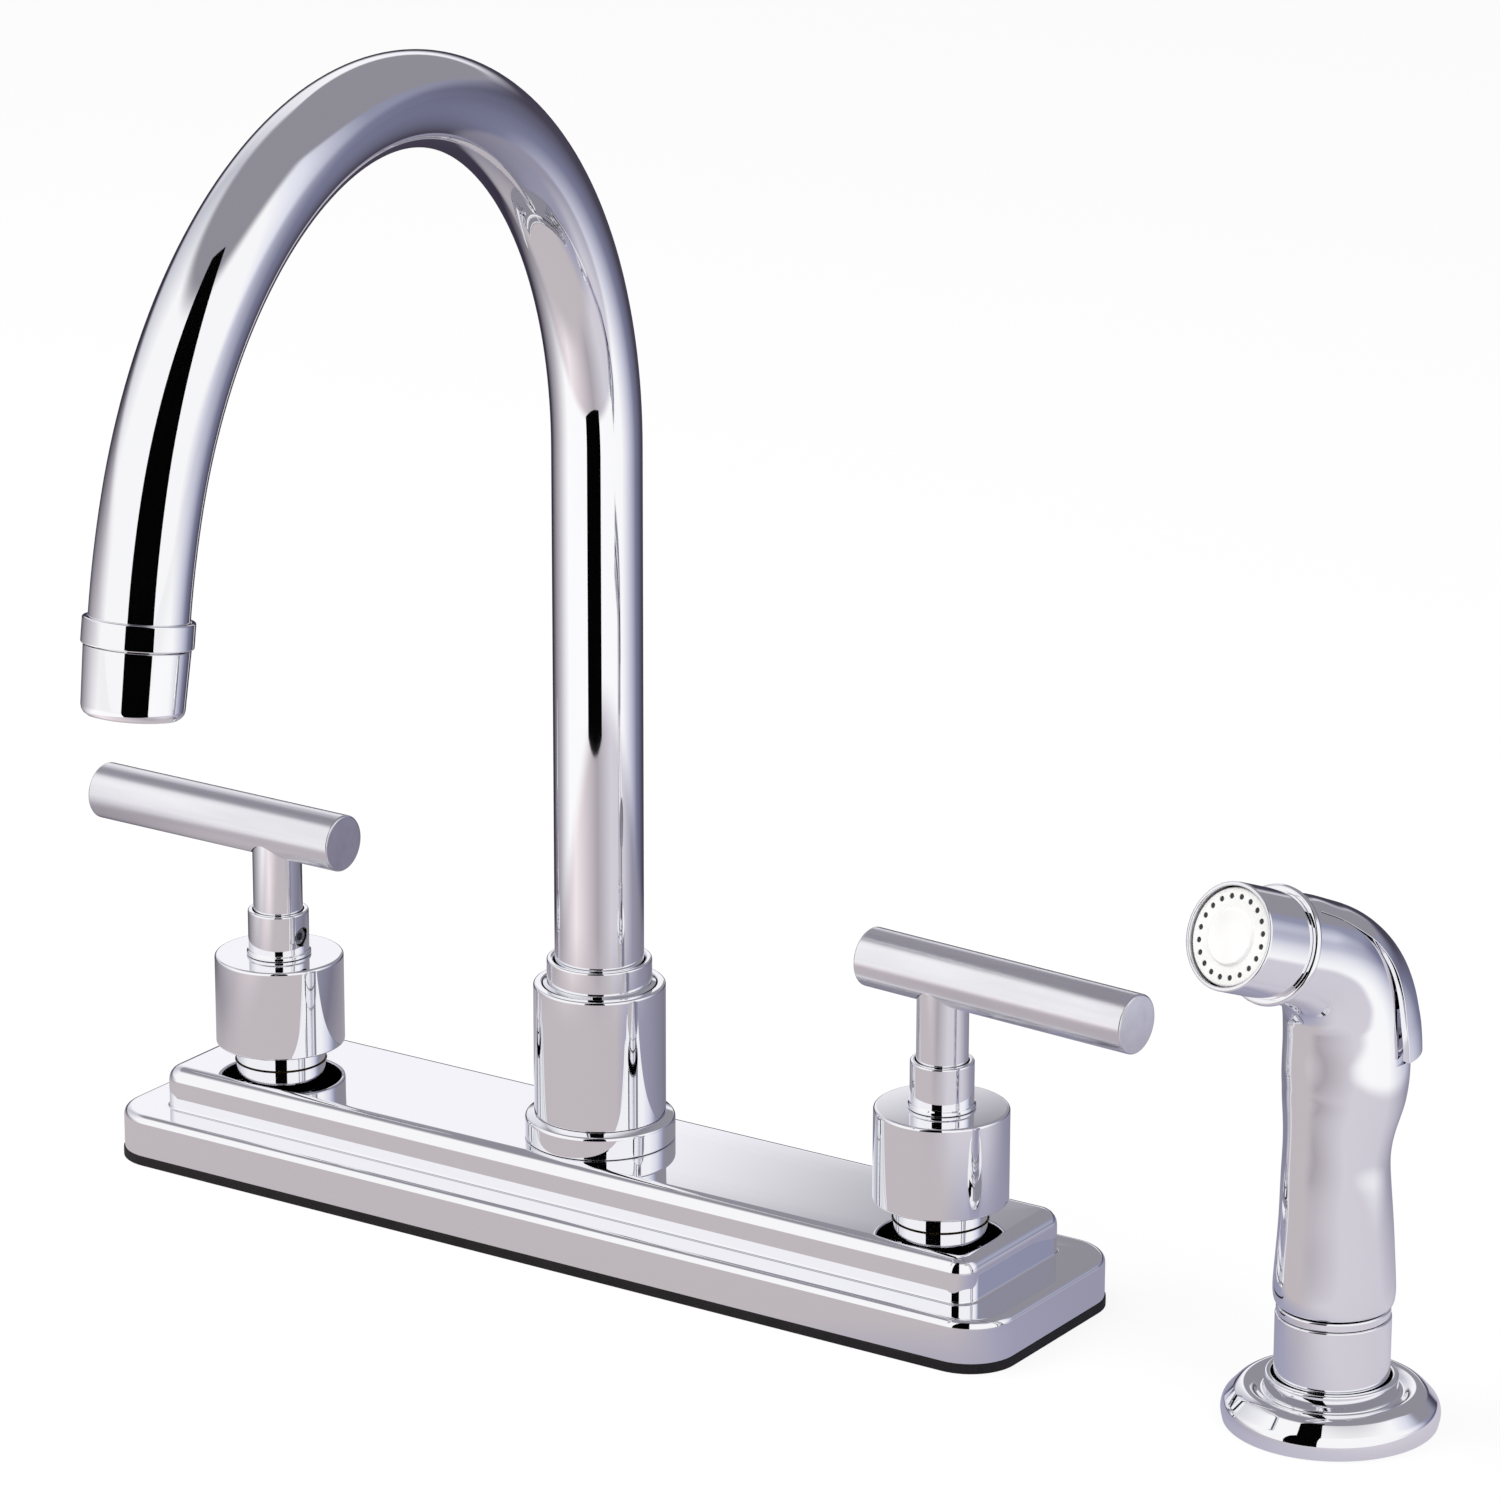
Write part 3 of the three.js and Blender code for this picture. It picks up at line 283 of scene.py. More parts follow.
def makeWorld():
    world = bpy.data.worlds.new("studio")
    bpy.context.scene.world = world
    world.use_nodes = True
    tree = world.node_tree
    tree.nodes.clear()
    direction = addNode(tree, "ShaderNodeTexCoord").outputs["Generated"]
    height = addNode(tree, "ShaderNodeSeparateXYZ", {0: direction}).outputs["Z"]
    seen = fade(tree, height, studio["lowFrom"], studio["lowTo"],
                aroundRamp(tree, direction, studio["farFloorShading"]), aroundRamp(tree, direction, studio["walls"]))
    for azimuth, elevation, inner, outer in studio["openings"]:
        a, e = radians(azimuth), radians(elevation)
        middle = (sin(a) * cos(e), -cos(a) * cos(e), sin(e))
        near = addNode(tree, "ShaderNodeVectorMath", {0: direction, 1: middle}, operation="DOT_PRODUCT")
        seen = fade(tree, near.outputs["Value"], cos(radians(outer)), cos(radians(inner)), seen,
                    linear(studio["grey"]))
    rays = addNode(tree, "ShaderNodeLightPath").outputs
    mirror = addNode(tree, "ShaderNodeBackground", {"Color": seen, "Strength": 1}).outputs[0]
    soft = addNode(tree, "ShaderNodeBackground", {"Color": linear("#ffffff"), "Strength": studio["ambient"]})
    white = addNode(tree, "ShaderNodeBackground", {"Color": linear("#ffffff"), "Strength": 1}).outputs[0]
    either = addNode(tree, "ShaderNodeMixShader", {0: rays["Is Glossy Ray"], 1: soft.outputs[0], 2: mirror})
    last = addNode(tree, "ShaderNodeMixShader", {0: rays["Is Camera Ray"], 1: either.outputs[0], 2: white})
    addNode(tree, "ShaderNodeOutputWorld", {"Surface": last.outputs[0]})


def makeLamp(name, place, size, power):
    data = bpy.data.lights.new(name, "AREA")
    data.shape, data.size, data.energy = "SQUARE", size, power
    lamp = bpy.data.objects.new(name, data)
    aim = Vector(studio["aim"]) - Vector(place)
    lamp.matrix_world = Matrix.Translation(place) @ aim.to_track_quat("-Z", "Y").to_matrix().to_4x4()
    lamp.visible_glossy = False
    bpy.context.scene.collection.objects.link(lamp)


def makeFloor():
    shape = bmesh.new()
    bmesh.ops.create_grid(shape, x_segments=1, y_segments=1, size=studio["floorSize"])
    floor = asObject(shape, "floor")
    material = bpy.data.materials.new("paperSweep")   # matt white paper, tinted where the metal mirrors it
    material.use_nodes = True
    tree = material.node_tree
    tree.nodes.clear()
    place = addNode(tree, "ShaderNodeTexCoord").outputs["Object"]
    # What the metal mirrors of the floor is painted shade, set by angle and distance: darker round the tap's
    # foot, in a lobe towards the black card, and behind.
    distance = addNode(tree, "ShaderNodeVectorMath", {0: place}, operation="LENGTH").outputs["Value"]
    away = addNode(tree, "ShaderNodeVectorMath", {0: place, 1: studio["farCentre"]}, operation="DISTANCE")
    outside = fade(tree, away.outputs["Value"], studio["farFrom"], studio["farTo"],
                   aroundRamp(tree, place, studio["nearFloorShading"]), aroundRamp(tree, place, studio["farFloorShading"]))
    floorShadeInMetal = fade(tree, distance, studio["footFrom"], studio["footTo"],
                aroundRamp(tree, place, studio["footFloorShading"]), outside)

    def paper(glow, colour):
        matt = addNode(tree, "ShaderNodeBsdfDiffuse", {"Color": colour}).outputs[0]
        bright = addNode(tree, "ShaderNodeEmission", {"Color": colour, "Strength": 1}).outputs[0]
        return addNode(tree, "ShaderNodeMixShader", {0: glow, 1: matt, 2: bright}).outputs[0]

    rays = addNode(tree, "ShaderNodeLightPath").outputs
    # Glossy rays see that painted shade glowing by floorGlow; other rays see plain matt paper.
    mirrored = addNode(tree, "ShaderNodeMixShader", {0: rays["Is Glossy Ray"],
                       1: paper(0, linear(studio["floorMatt"])), 2: paper(studio["floorGlow"], floorShadeInMetal)})
    last = addNode(tree, "ShaderNodeMixShader", {0: rays["Is Camera Ray"], 1: mirrored.outputs[0],
                   2: paper(studio["floorCamera"], linear("#ffffff"))})
    addNode(tree, "ShaderNodeOutputMaterial", {"Surface": last.outputs[0]})
    floor.data.materials.append(material)


def makeCard():
    card = darkCard
    material = bpy.data.materials.new("blackCard")    # matt black card, seen only in the metal
    material.use_nodes = True
    shader = material.node_tree.nodes["Principled BSDF"]
    shader.inputs["Base Color"].default_value = linear(card["black"])
    shader.inputs["Roughness"].default_value = card["roughness"]
    shader.inputs["Specular IOR Level"].default_value = 0
    shape = bmesh.new()
    bmesh.ops.create_grid(shape, x_segments=1, y_segments=1, size=0.5)
    bmesh.ops.scale(shape, vec=(card["width"], card["high"], 1), verts=shape.verts)
    a = radians(card["azimuth"])
    place = Matrix.Translation((sin(a) * card["distance"], -cos(a) * card["distance"],
                                card["high"] / 2 + card["lift"]))
    bmesh.ops.transform(shape, matrix=place @ Matrix.Rotation(a, 4, "Z") @ Matrix.Rotation(pi / 2, 4, "X"),
                        verts=shape.verts)
    thing = asObject(shape, "card")
    thing.data.materials.append(material)
    thing.visible_camera = thing.visible_diffuse = thing.visible_shadow = False


makeWorld()
makeLamp("key", studio["keyAt"], studio["keySize"], studio["keyPower"])
makeLamp("fill", studio["fillAt"], studio["fillSize"], studio["fillPower"])
makeFloor()
makeCard()
bpy.context.scene.view_settings.view_transform = "Standard"
print("studio lit")


# A principled material with the object's own coordinates ready for its patterns.
def startMaterial(name, colour, metallic, roughness):
    material = bpy.data.materials.new(name)
    material.use_nodes = True
    tree = material.node_tree
    shader = tree.nodes["Principled BSDF"]
    shader.inputs["Base Color"].default_value = linear(colour)
    shader.inputs["Metallic"].default_value = metallic
    shader.inputs["Roughness"].default_value = roughness
    place = addNode(tree, "ShaderNodeTexCoord").outputs["Object"]
    return material, tree, shader, place


# Noise with features of a size in millimetres, stretched by `squeeze` along each axis.
def grain(tree, place, size, squeeze=(1, 1, 1), turn=0, detail=2):
    mapped = addNode(tree, "ShaderNodeMapping", {"Vector": place, "Rotation": (0, 0, radians(turn)),
                     "Scale": squeeze})
    return addNode(tree, "ShaderNodeTexNoise", {"Vector": mapped.outputs[0], "Scale": 1 / (size * mm),
                   "Detail": detail}).outputs["Fac"]


def spread(tree, value, low, high, fromLow=0.3, fromHigh=0.7):
    return addNode(tree, "ShaderNodeMapRange", {"Value": value, "From Min": fromLow, "From Max": fromHigh,
                   "To Min": low, "To Max": high}).outputs["Result"]


def raised(tree, shader, value, depth, strength):
    bump = addNode(tree, "ShaderNodeBump", {"Height": value, "Distance": depth * mm, "Strength": strength})
    tree.links.new(bump.outputs[0], shader.inputs["Normal"])


def twoTone(tree, shader, value, dark, light):
    mix = addNode(tree, "ShaderNodeMix", {"Factor": value, "A": linear(dark), "B": linear(light)},
                  data_type="RGBA")
    tree.links.new(mix.outputs[2], shader.inputs["Base Color"])


# Chromium plated over polished brass: mirror bright, with a faint haze and a trace of the buffing under it.
def platedChrome():
    material, tree, shader, place = startMaterial("platedChrome", "#f6f6f9", 1, 0.03)
    tree.links.new(spread(tree, grain(tree, place, 22), 0.016, 0.04), shader.inputs["Roughness"])
    raised(tree, shader, grain(tree, place, 9, detail=1), 0.003, 0.3)
    return material


# Nickel plate brushed along the bar: fine lines that draw the light out into long soft bands.
def brushedNickel(name, turn):
    material, tree, shader, place = startMaterial(name, "#ecebf0", 1, 0.2)
    lines = grain(tree, place, 0.25, (0.015, 1, 1), turn, 2)     # a real line is 0.1 mm, too fine to show
    broad = grain(tree, place, 5, (0.1, 1, 1), turn)
    tree.links.new(spread(tree, lines, 0.16, 0.24), shader.inputs["Roughness"])
    twoTone(tree, shader, spread(tree, broad, 0, 1), "#e6e5ea", "#f2f1f5")
    raised(tree, shader, lines, 0.003, 0.25)
    return material


# Machined brass: warm, with tool marks round the work and a little tarnish.
def turnedBrass():
    material, tree, shader, place = startMaterial("turnedBrass", "#b9974f", 1, 0.3)
    cloud = grain(tree, place, 14)
    twoTone(tree, shader, spread(tree, cloud, 0, 1), "#a5833f", "#c6a55c")
    marks = grain(tree, place, 0.6, (0.15, 0.15, 1))
    tree.links.new(spread(tree, marks, 0.22, 0.4), shader.inputs["Roughness"])
    raised(tree, shader, grain(tree, place, 0.5, (0.1, 0.1, 1)), 0.02, 0.5)
    return material


# Sand cast brass left as cast: dull and grainy.
def castBrass():
    material, tree, shader, place = startMaterial("castBrass", "#a8884a", 1, 0.5)
    twoTone(tree, shader, spread(tree, grain(tree, place, 9, detail=4), 0, 1), "#8d7038", "#b7985a")
    tree.links.new(spread(tree, grain(tree, place, 3), 0.42, 0.6), shader.inputs["Roughness"])
    raised(tree, shader, grain(tree, place, 0.9, detail=3), 0.12, 0.6)
    return material


# Stamped stainless steel: grey, with fine rolling lines.
def rolledSteel():
    material, tree, shader, place = startMaterial("rolledSteel", "#9a9ca0", 1, 0.3)
    lines = grain(tree, place, 0.3, (0.05, 1, 1))
    tree.links.new(spread(tree, lines, 0.22, 0.38), shader.inputs["Roughness"])
    twoTone(tree, shader, spread(tree, grain(tree, place, 5), 0, 1), "#8e9094", "#a8aaae")
    raised(tree, shader, lines, 0.01, 0.4)
    return material


# Moulded black rubber: matt, with a fine dusty grain.
def mouldedRubber():
    material, tree, shader, place = startMaterial("mouldedRubber", "#110e10", 0, 0.7)
    fine = grain(tree, place, 0.5, detail=3)
    twoTone(tree, shader, spread(tree, grain(tree, place, 7), 0, 1), "#0c0a0b", "#181416")
    tree.links.new(spread(tree, fine, 0.66, 0.86), shader.inputs["Roughness"])
    raised(tree, shader, fine, 0.05, 0.4)
    return material


# Injection moulded white acetal: satin, waxy, a touch uneven where it cooled.
def mouldedAcetal():
    material, tree, shader, place = startMaterial("mouldedAcetal", "#f4f4f2", 0, 0.42)
    shader.inputs["Subsurface Weight"].default_value = 0.05
    shader.inputs["Subsurface Radius"].default_value = (0.0012, 0.0011, 0.001)
    twoTone(tree, shader, spread(tree, grain(tree, place, 11), 0, 1), "#efefec", "#fafaf9")
    tree.links.new(spread(tree, grain(tree, place, 2), 0.36, 0.5), shader.inputs["Roughness"])
    raised(tree, shader, grain(tree, place, 2.5, detail=1), 0.01, 0.3)
    return material


# Dark glass filled nylon: speckled by its fibres.
def filledNylon():
    material, tree, shader, place = startMaterial("filledNylon", "#2b2c2f", 0, 0.5)
    fleck = grain(tree, place, 0.7, (1, 1, 0.4), detail=4)
    twoTone(tree, shader, spread(tree, fleck, 0, 1, 0.4, 0.75), "#27282b", "#3a3b3e")
    tree.links.new(spread(tree, fleck, 0.42, 0.6), shader.inputs["Roughness"])
    raised(tree, shader, fleck, 0.02, 0.4)
    return material


# Lapped alumina: off white and smooth, with a faint speckle.
def lappedCeramic():
    material, tree, shader, place = startMaterial("lappedCeramic", "#e8e6e0", 0, 0.22)
    speck = grain(tree, place, 0.5, detail=4)
    twoTone(tree, shader, spread(tree, speck, 0, 1), "#dedbd3", "#efeeea")
    tree.links.new(spread(tree, speck, 0.16, 0.3), shader.inputs["Roughness"])
    return material


chrome, brass, cast, steel = platedChrome(), turnedBrass(), castBrass(), rolledSteel()
rubber, acetal, nylon, ceramic = mouldedRubber(), mouldedAcetal(), filledNylon(), lappedCeramic()
print("materials ready")


plate = {"length": 269.8, "depth": 64.5, "corner": 12.3, "low": 2.5, "top": 13.3, "edge": 2.2, "wall": 2.4}
step = {"length": 247, "depth": 46, "corner": 5.5, "top": 24.5, "edge": 4, "fillet": 0.7, "sunk": 1.5,
        "holes": [(-101.6, 12), (0, 12.7), (101.6, 12)], "holeLow": 15, "holeTop": 30}   # where, radius
gasket = {"thickness": 2.4, "overhang": 0.3, "land": 7, "edge": 0.35}


def makePlate():
    wall = plate["wall"]
    lower = roundedBlock(plate["length"], plate["depth"], plate["corner"], plate["low"], plate["top"],
                         plate["edge"])
    upper = roundedBlock(step["length"], step["depth"], step["corner"], plate["top"] - step["sunk"],
                         step["top"], step["edge"])
    shape = carve(lower, [upper], "UNION")
    # the hollow line where the step stands on the plate
    foot = [e for e in shape.edges if all(abs(v.co.z - plate["top"]) < 1e-3 for v in e.verts)
            and len(e.link_faces) == 2 and not e.is_convex
            and e.calc_face_angle(0) > 0.8]
    bmesh.ops.bevel(shape, geom=foot, offset=step["fillet"], offset_type="OFFSET", segments=3,
                    profile=0.5, affect="EDGES", material=-1)
    cutters = [roundedBlock(tier["length"] - 2 * wall, tier["depth"] - 2 * wall, tier["corner"] - wall,
                            0, tier["top"] - wall) for tier in (plate, step)]
    for x, radius in step["holes"]:
        hole = rodShape(radius, step["holeLow"], step["holeTop"])
        bmesh.ops.translate(hole, vec=(x, 0, 0), verts=hole.verts)
        cutters.append(hole)
    makePiece("deck_plate", carve(shape, cutters), chrome)


def makeGasket():
    over, land = gasket["overhang"], gasket["land"]
    outer = roundedBlock(plate["length"] + 2 * over, plate["depth"] + 2 * over, plate["corner"] + over,
                         0, gasket["thickness"], gasket["edge"])
    inner = roundedBlock(plate["length"] - 2 * land, plate["depth"] - 2 * land, plate["corner"] - land,
                         -1, gasket["thickness"] + 1)
    makePiece("deck_gasket", carve(outer, [inner]), rubber)


makePlate()
makeGasket()
print("plate and gasket made")


handle = {"hubRadius": 16.75, "hubLow": 29.5, "hubTop": 53.45, "wall": 1.1, "roof": 2.6, "hubEdge": 0.8,
          "bore": 4.1, "collarRadius": 7.9, "collarFoot": 8.4, "footTop": 0.8, "footSlope": 1.3,
          "collarLow": 53.55, "collarTop": 65.6, "socket": 6.7, "socketFloor": 61.3,
          "screwHeight": 59.2, "screwHole": 2.6, "screwReach": 12, "screwRadius": 2.2, "screwFace": 6.9,
          "keyRadius": 1.15, "keyDepth": 1.4,
          "postRadius": 6.4, "postLow": 61.6, "postTop": 84.2, "seatTop": 84.5,
          "barRadius": 7.4, "barHeight": 87.3, "outward": 57.3, "inward": 22, "barEdge": 0.6}
bonnet = {"bore": 10.3, "radius": 11.6, "low": 24.6, "top": 31.6, "neckBore": 6.6, "shelf": 28.6}
sides = {"hot": (-101.6, 179), "cold": (101.6, -4.5)}     # where along the plate, and how far it is turned


def makeBonnet(name, at):
    b = bonnet
    shape = turnProfile([[b["bore"], b["low"]], [b["radius"], b["low"], 0.3], [b["radius"], b["top"], 1],
                         [b["neckBore"], b["top"]], [b["neckBore"], b["shelf"]], [b["bore"], b["shelf"]]])
    makePiece(name + "_bonnet_nut", shape, chrome, at)


def makeHandle(name):
    x, turn = sides[name]
    h, at = handle, moved(x, 0, 0, turn)
    makeBonnet(name, moved(x, 0, 0))
    inner = h["hubRadius"] - h["wall"]
    hub = turnProfile([[inner, h["hubLow"], 0.3], [h["hubRadius"], h["hubLow"], 0.5],
                       [h["hubRadius"], h["hubTop"], h["hubEdge"]], [h["bore"], h["hubTop"]],
                       [h["bore"], h["hubTop"] - h["roof"]], [inner, h["hubTop"] - h["roof"], 1]], 112)
    makePiece(name + "_handle_hub", hub, chrome, at)
    low = h["collarLow"]
    collar = turnProfile([[h["bore"], low], [h["collarFoot"], low, 0.25],
                          [h["collarFoot"], low + h["footTop"], 0.2],
                          [h["collarRadius"], low + h["footSlope"], 0.2],
                          [h["collarRadius"], h["collarTop"], 0.5], [h["socket"], h["collarTop"], 0.15],
                          [h["socket"], h["socketFloor"]], [h["bore"], h["socketFloor"]]], 80)
    across = Matrix.Translation((0, 0, h["screwHeight"])) @ Matrix.Rotation(-pi / 2, 4, "Y")
    bore = rodShape(h["screwHole"], h["bore"] - 1, h["screwReach"], 40)
    bmesh.ops.transform(bore, matrix=across, verts=bore.verts)
    makePiece(name + "_handle_collar", carve(collar, [bore]), chrome, at)
    screw = rodShape(h["screwRadius"], h["bore"], h["screwFace"], 32, 0.25)
    key = rodShape(h["keyRadius"], h["screwFace"] - h["keyDepth"], h["screwFace"] + 1, 6)
    makePiece(name + "_set_screw", carve(screw, [key]), steel, at @ across)
    makePiece(name + "_handle_post", rodShape(h["postRadius"], h["postLow"], h["postTop"], 80, 0.3),
              chrome, at)
    bar = rodShape(h["barRadius"], -h["inward"], h["outward"], 96, h["barEdge"])
    along = Matrix.Translation((0, 0, h["barHeight"])) @ Matrix.Rotation(pi / 2, 4, "Y")
    bmesh.ops.transform(bar, matrix=along, verts=bar.verts)
    seat = rodShape(h["socket"], h["barHeight"] - 2 * h["barRadius"], h["seatTop"], 64)
    makePiece(name + "_handle_bar", carve(bar, [seat]), brushedNickel(name + "BrushedNickel", -turn),
              at)


makeHandle("hot")
makeHandle("cold")
print("handles made")


spout = {"radius": 11.23, "bore": 9.9, "low": 63.3, "straightTop": 204, "sides": 72,
         "archRadius": 104.4, "archAngle": 160.3, "archSteps": 90,
         "dropRadius": 150, "dropAngle": 9.5, "dropSteps": 8, "tail": 1.3, "turn": 6.6}
casing = {"bore": 12.7, "ringRadius": 19.05, "ringLow": 24.6, "ringTop": 30.3, "slopeTop": 31.1,
          "radius": 16.67, "low": 31.2, "top": 65.6, "counterbore": 14.5, "counterFloor": 46,
          "nutSkirt": 14.2, "nutLow": 48.5, "nutRadius": 13.25, "nutTop": 72.1, "nutBore": 11.53, "shelf": 65}


def makeCasing():
    c = casing
    ring = turnProfile([[c["bore"], c["ringLow"]], [c["ringRadius"], c["ringLow"], 0.3],
                        [c["ringRadius"], c["ringTop"], 0.7], [c["radius"], c["slopeTop"], 0.2],
                        [c["bore"], c["slopeTop"]]], 128)
    makePiece("spout_base_ring", ring, chrome)
    body = turnProfile([[c["bore"], c["low"]], [c["radius"], c["low"], 0.25], [c["radius"], c["top"], 0.7],
                        [c["counterbore"], c["top"], 0.4], [c["counterbore"], c["counterFloor"]],
                        [c["bore"], c["counterFloor"]]], 128)
    makePiece("spout_body", body, chrome)
    nut = turnProfile([[c["bore"], c["nutLow"]], [c["nutSkirt"], c["nutLow"]],
                       [c["nutSkirt"], c["top"] - 0.1], [c["nutRadius"], c["top"] + 0.3],
                       [c["nutRadius"], c["nutTop"], 0.5], [c["nutBore"], c["nutTop"], 0.8],
                       [c["nutBore"], c["shelf"]], [c["bore"], c["shelf"]]], 112)
    makePiece("spout_nut", nut, chrome)


# What touches some corners or bounds some edges, each once and in the same order on every run.
def inOrder(groups):
    return list(dict.fromkeys(item for group in groups for item in group))


# Draws one wall of the tube: a ring drawn up, turned over the arch, down the drop and out to the tail.
def drawTube(shape, radius):
    s = spout
    ring = bmesh.ops.create_circle(shape, segments=s["sides"], radius=radius)["verts"]
    bmesh.ops.translate(shape, vec=(0, 0, s["low"]), verts=ring)
    edges = inOrder(v.link_edges for v in ring)

    def grow(amount):
        nonlocal edges
        grown = bmesh.ops.extrude_edge_only(shape, edges=edges)["geom"]
        fresh = {g for g in grown if isinstance(g, bmesh.types.BMVert)}
        bmesh.ops.translate(shape, vec=amount, verts=list(fresh))
        edges = [g for g in grown if isinstance(g, bmesh.types.BMEdge) and set(g.verts) <= fresh]

    def sweep(centre, angle, steps):
        nonlocal edges
        verts = inOrder(e.verts for e in edges)
        last = bmesh.ops.spin(shape, geom=[*verts, *edges], cent=centre, axis=(1, 0, 0),
                              angle=radians(angle), steps=steps)["geom_last"]
        edges = [g for g in last if isinstance(g, bmesh.types.BMEdge)]

    grow((0, 0, 1))
    grow((0, 0, s["straightTop"] - s["low"] - 1))
    centre = Vector((0, -s["archRadius"], s["straightTop"]))
    sweep(centre, s["archAngle"], s["archSteps"])
    end = radians(s["archAngle"])
    centre += (s["archRadius"] - s["dropRadius"]) * Vector((0, cos(end), sin(end)))
    sweep(centre, s["dropAngle"], s["dropSteps"])
    tilt = radians(180 - s["archAngle"] - s["dropAngle"])
    grow(s["tail"] * Vector((0, -sin(tilt), -cos(tilt))))
    return inOrder(e.verts for e in edges)


def makeTube():
    shape = bmesh.new()
    drawTube(shape, spout["radius"])
    lastRing = drawTube(shape, spout["bore"])
    tailEnd = sum((v.co for v in lastRing), Vector()) / len(lastRing)
    ends = [e for e in shape.edges if len(e.link_faces) == 1]
    for atTip in (False, True):
        loops = [e for e in ends if (e.verts[0].co.y < -spout["archRadius"]) == atTip]
        bmesh.ops.bridge_loops(shape, edges=loops)
    bmesh.ops.recalc_face_normals(shape, faces=shape.faces)
    turn = Matrix.Rotation(radians(spout["turn"]), 4, "Z")
    makePiece("spout_tube", shape, chrome, turn)
    tilt = 180 - spout["archAngle"] - spout["dropAngle"]
    return turn @ Matrix.Translation(tailEnd) @ Matrix.Rotation(radians(-tilt), 4, "X")


tip = {"bore": 11.53, "radius": 12.45, "top": 0.6, "low": -5.3, "tubeBore": 9.9, "lip": -0.3}
aerator = {"mouth": 8.4, "foot": 11.4, "radius": 11.86, "top": -5.6, "low": -21.2,
           "spigot": 9.6, "spigotTop": -1.6, "wallBore": 8.2, "shoulder": -17.2,
           "insertRadius": 7.9, "insertLow": -16.9, "insertTop": -9.9, "cup": 7.1, "cupFloor": 3.5,
           "hole": 0.62, "rings": [(2.2, 6), (4.4, 12), (6.4, 18)]}      # radius, how many holes


def makeTip(at):
    t, a = tip, aerator
    ring = turnProfile([[t["bore"], t["top"], 0.2], [t["radius"], t["top"], 0.4],
                        [t["radius"], t["low"], 0.4], [t["tubeBore"], t["low"]], [t["tubeBore"], t["lip"]],
                        [t["bore"], t["lip"]]], 96)
    makePiece("spout_tip_ring", ring, chrome, at)
    housing = turnProfile([[a["mouth"], a["low"], 0.5], [a["foot"], a["low"], 2.4],
                           [a["radius"], a["top"], 0.25], [a["spigot"], a["top"]],
                           [a["spigot"], a["spigotTop"]], [a["wallBore"], a["spigotTop"]],
                           [a["wallBore"], a["shoulder"]], [a["mouth"], a["shoulder"] - 1]], 96)
    makePiece("aerator_housing", housing, chrome, at)
    low, top = a["insertLow"], a["insertTop"]
    floor = low + a["cupFloor"]
    insert = turnProfile([[0, low], [a["insertRadius"], low, 0.3], [a["insertRadius"], top],
                          [a["cup"], top], [a["cup"], floor], [0, floor]], 64, closed=False)
    drills = bmesh.new()
    for circle, count in a["rings"]:
        join(drills, rodCircle(circle, count, a["hole"], low - 1, floor + 1.5, 10))
    makePiece("aerator_insert", carve(insert, [drills]), acetal, at)


makeCasing()
makeTip(makeTube())
print("spout made")


sprayPlace = moved(214.3, -6, 0, -14)
holder = {"bore": 7.6, "tube": 10.3, "low": -45, "flangeLow": 1.5,
          "thread": 1.6, "threadTop": -0.5, "threadEnd": 0.6, "threadDepth": 0.55,
          "skirt": 24.8, "skirtLow": 0.15,
          "form": [[25.5, 0.15, 0.2], [26.1, 2.9, 0.9], [25.55, 5.2, 0.8], [22.4, 8.65, 0.9],
                   [20.6, 9.45, 0.8], [18.8, 9.0, 0.8], [16.9, 7.55, 0.7], [15.9, 8.1, 0.3],
                   [15.9, 12.3, 0.6], [14.3, 12.3, 0.5]],       # radius, height, rounding, from the skirt in
          "cupRadius": 14.3, "cupFloor": 4, "gasketBore": 10.6, "gasketRadius": 24.6, "gasketTop": 1.4}
foot = {"bore": 9.2, "radius": 13.77, "low": 4.4, "top": 27.3, "edge": 0.4,
        "ringBore": 6.9, "ringRadius": 13.55, "ringTop": 29.6}


# Ridges of a screw thread down a shank, as a run of profile points from top to low.
def threadRun(radius, top, low, pitch, depth):
    turns = int((top - low) / pitch)
    return [point for i in range(turns)
            for point in ([radius - depth, top - i * pitch], [radius, top - (i + 0.5) * pitch])]


def makeHolder():
    h, f = holder, foot
    root = h["tube"] - h["threadDepth"]
    ridges = threadRun(h["tube"], h["threadTop"], h["low"] + h["threadEnd"], h["thread"], h["threadDepth"])
    profile = [[h["bore"], h["low"]], [root, h["low"]], *reversed(ridges),
               [root, h["flangeLow"]], [h["skirt"], h["flangeLow"]],
               [h["skirt"], h["skirtLow"]], *h["form"],
               [h["cupRadius"], h["cupFloor"]], [h["bore"], h["cupFloor"]]]
    makePiece("spray_holder", turnProfile(profile, 128), chrome, sprayPlace)
    seal = turnProfile([[h["gasketBore"], 0], [h["gasketRadius"], 0, 0.3],
                        [h["gasketRadius"], h["gasketTop"], 0.3], [h["gasketBore"], h["gasketTop"]]])
    makePiece("spray_holder_gasket", seal, rubber, sprayPlace)
    collar = turnProfile([[f["bore"], f["low"]], [f["radius"], f["low"], f["edge"]],
                          [f["radius"], f["top"], f["edge"]], [f["bore"], f["top"]]])
    makePiece("spray_base_collar", collar, chrome, sprayPlace)
    ring = turnProfile([[f["ringBore"], f["top"] + 0.1], [f["ringRadius"], f["top"] + 0.1, 0.5],
                        [f["ringRadius"], f["ringTop"], 0.5], [f["ringBore"], f["ringTop"]]])
    makePiece("spray_trim_ring", ring, chrome, sprayPlace)


makeHolder()
print("spray holder made")


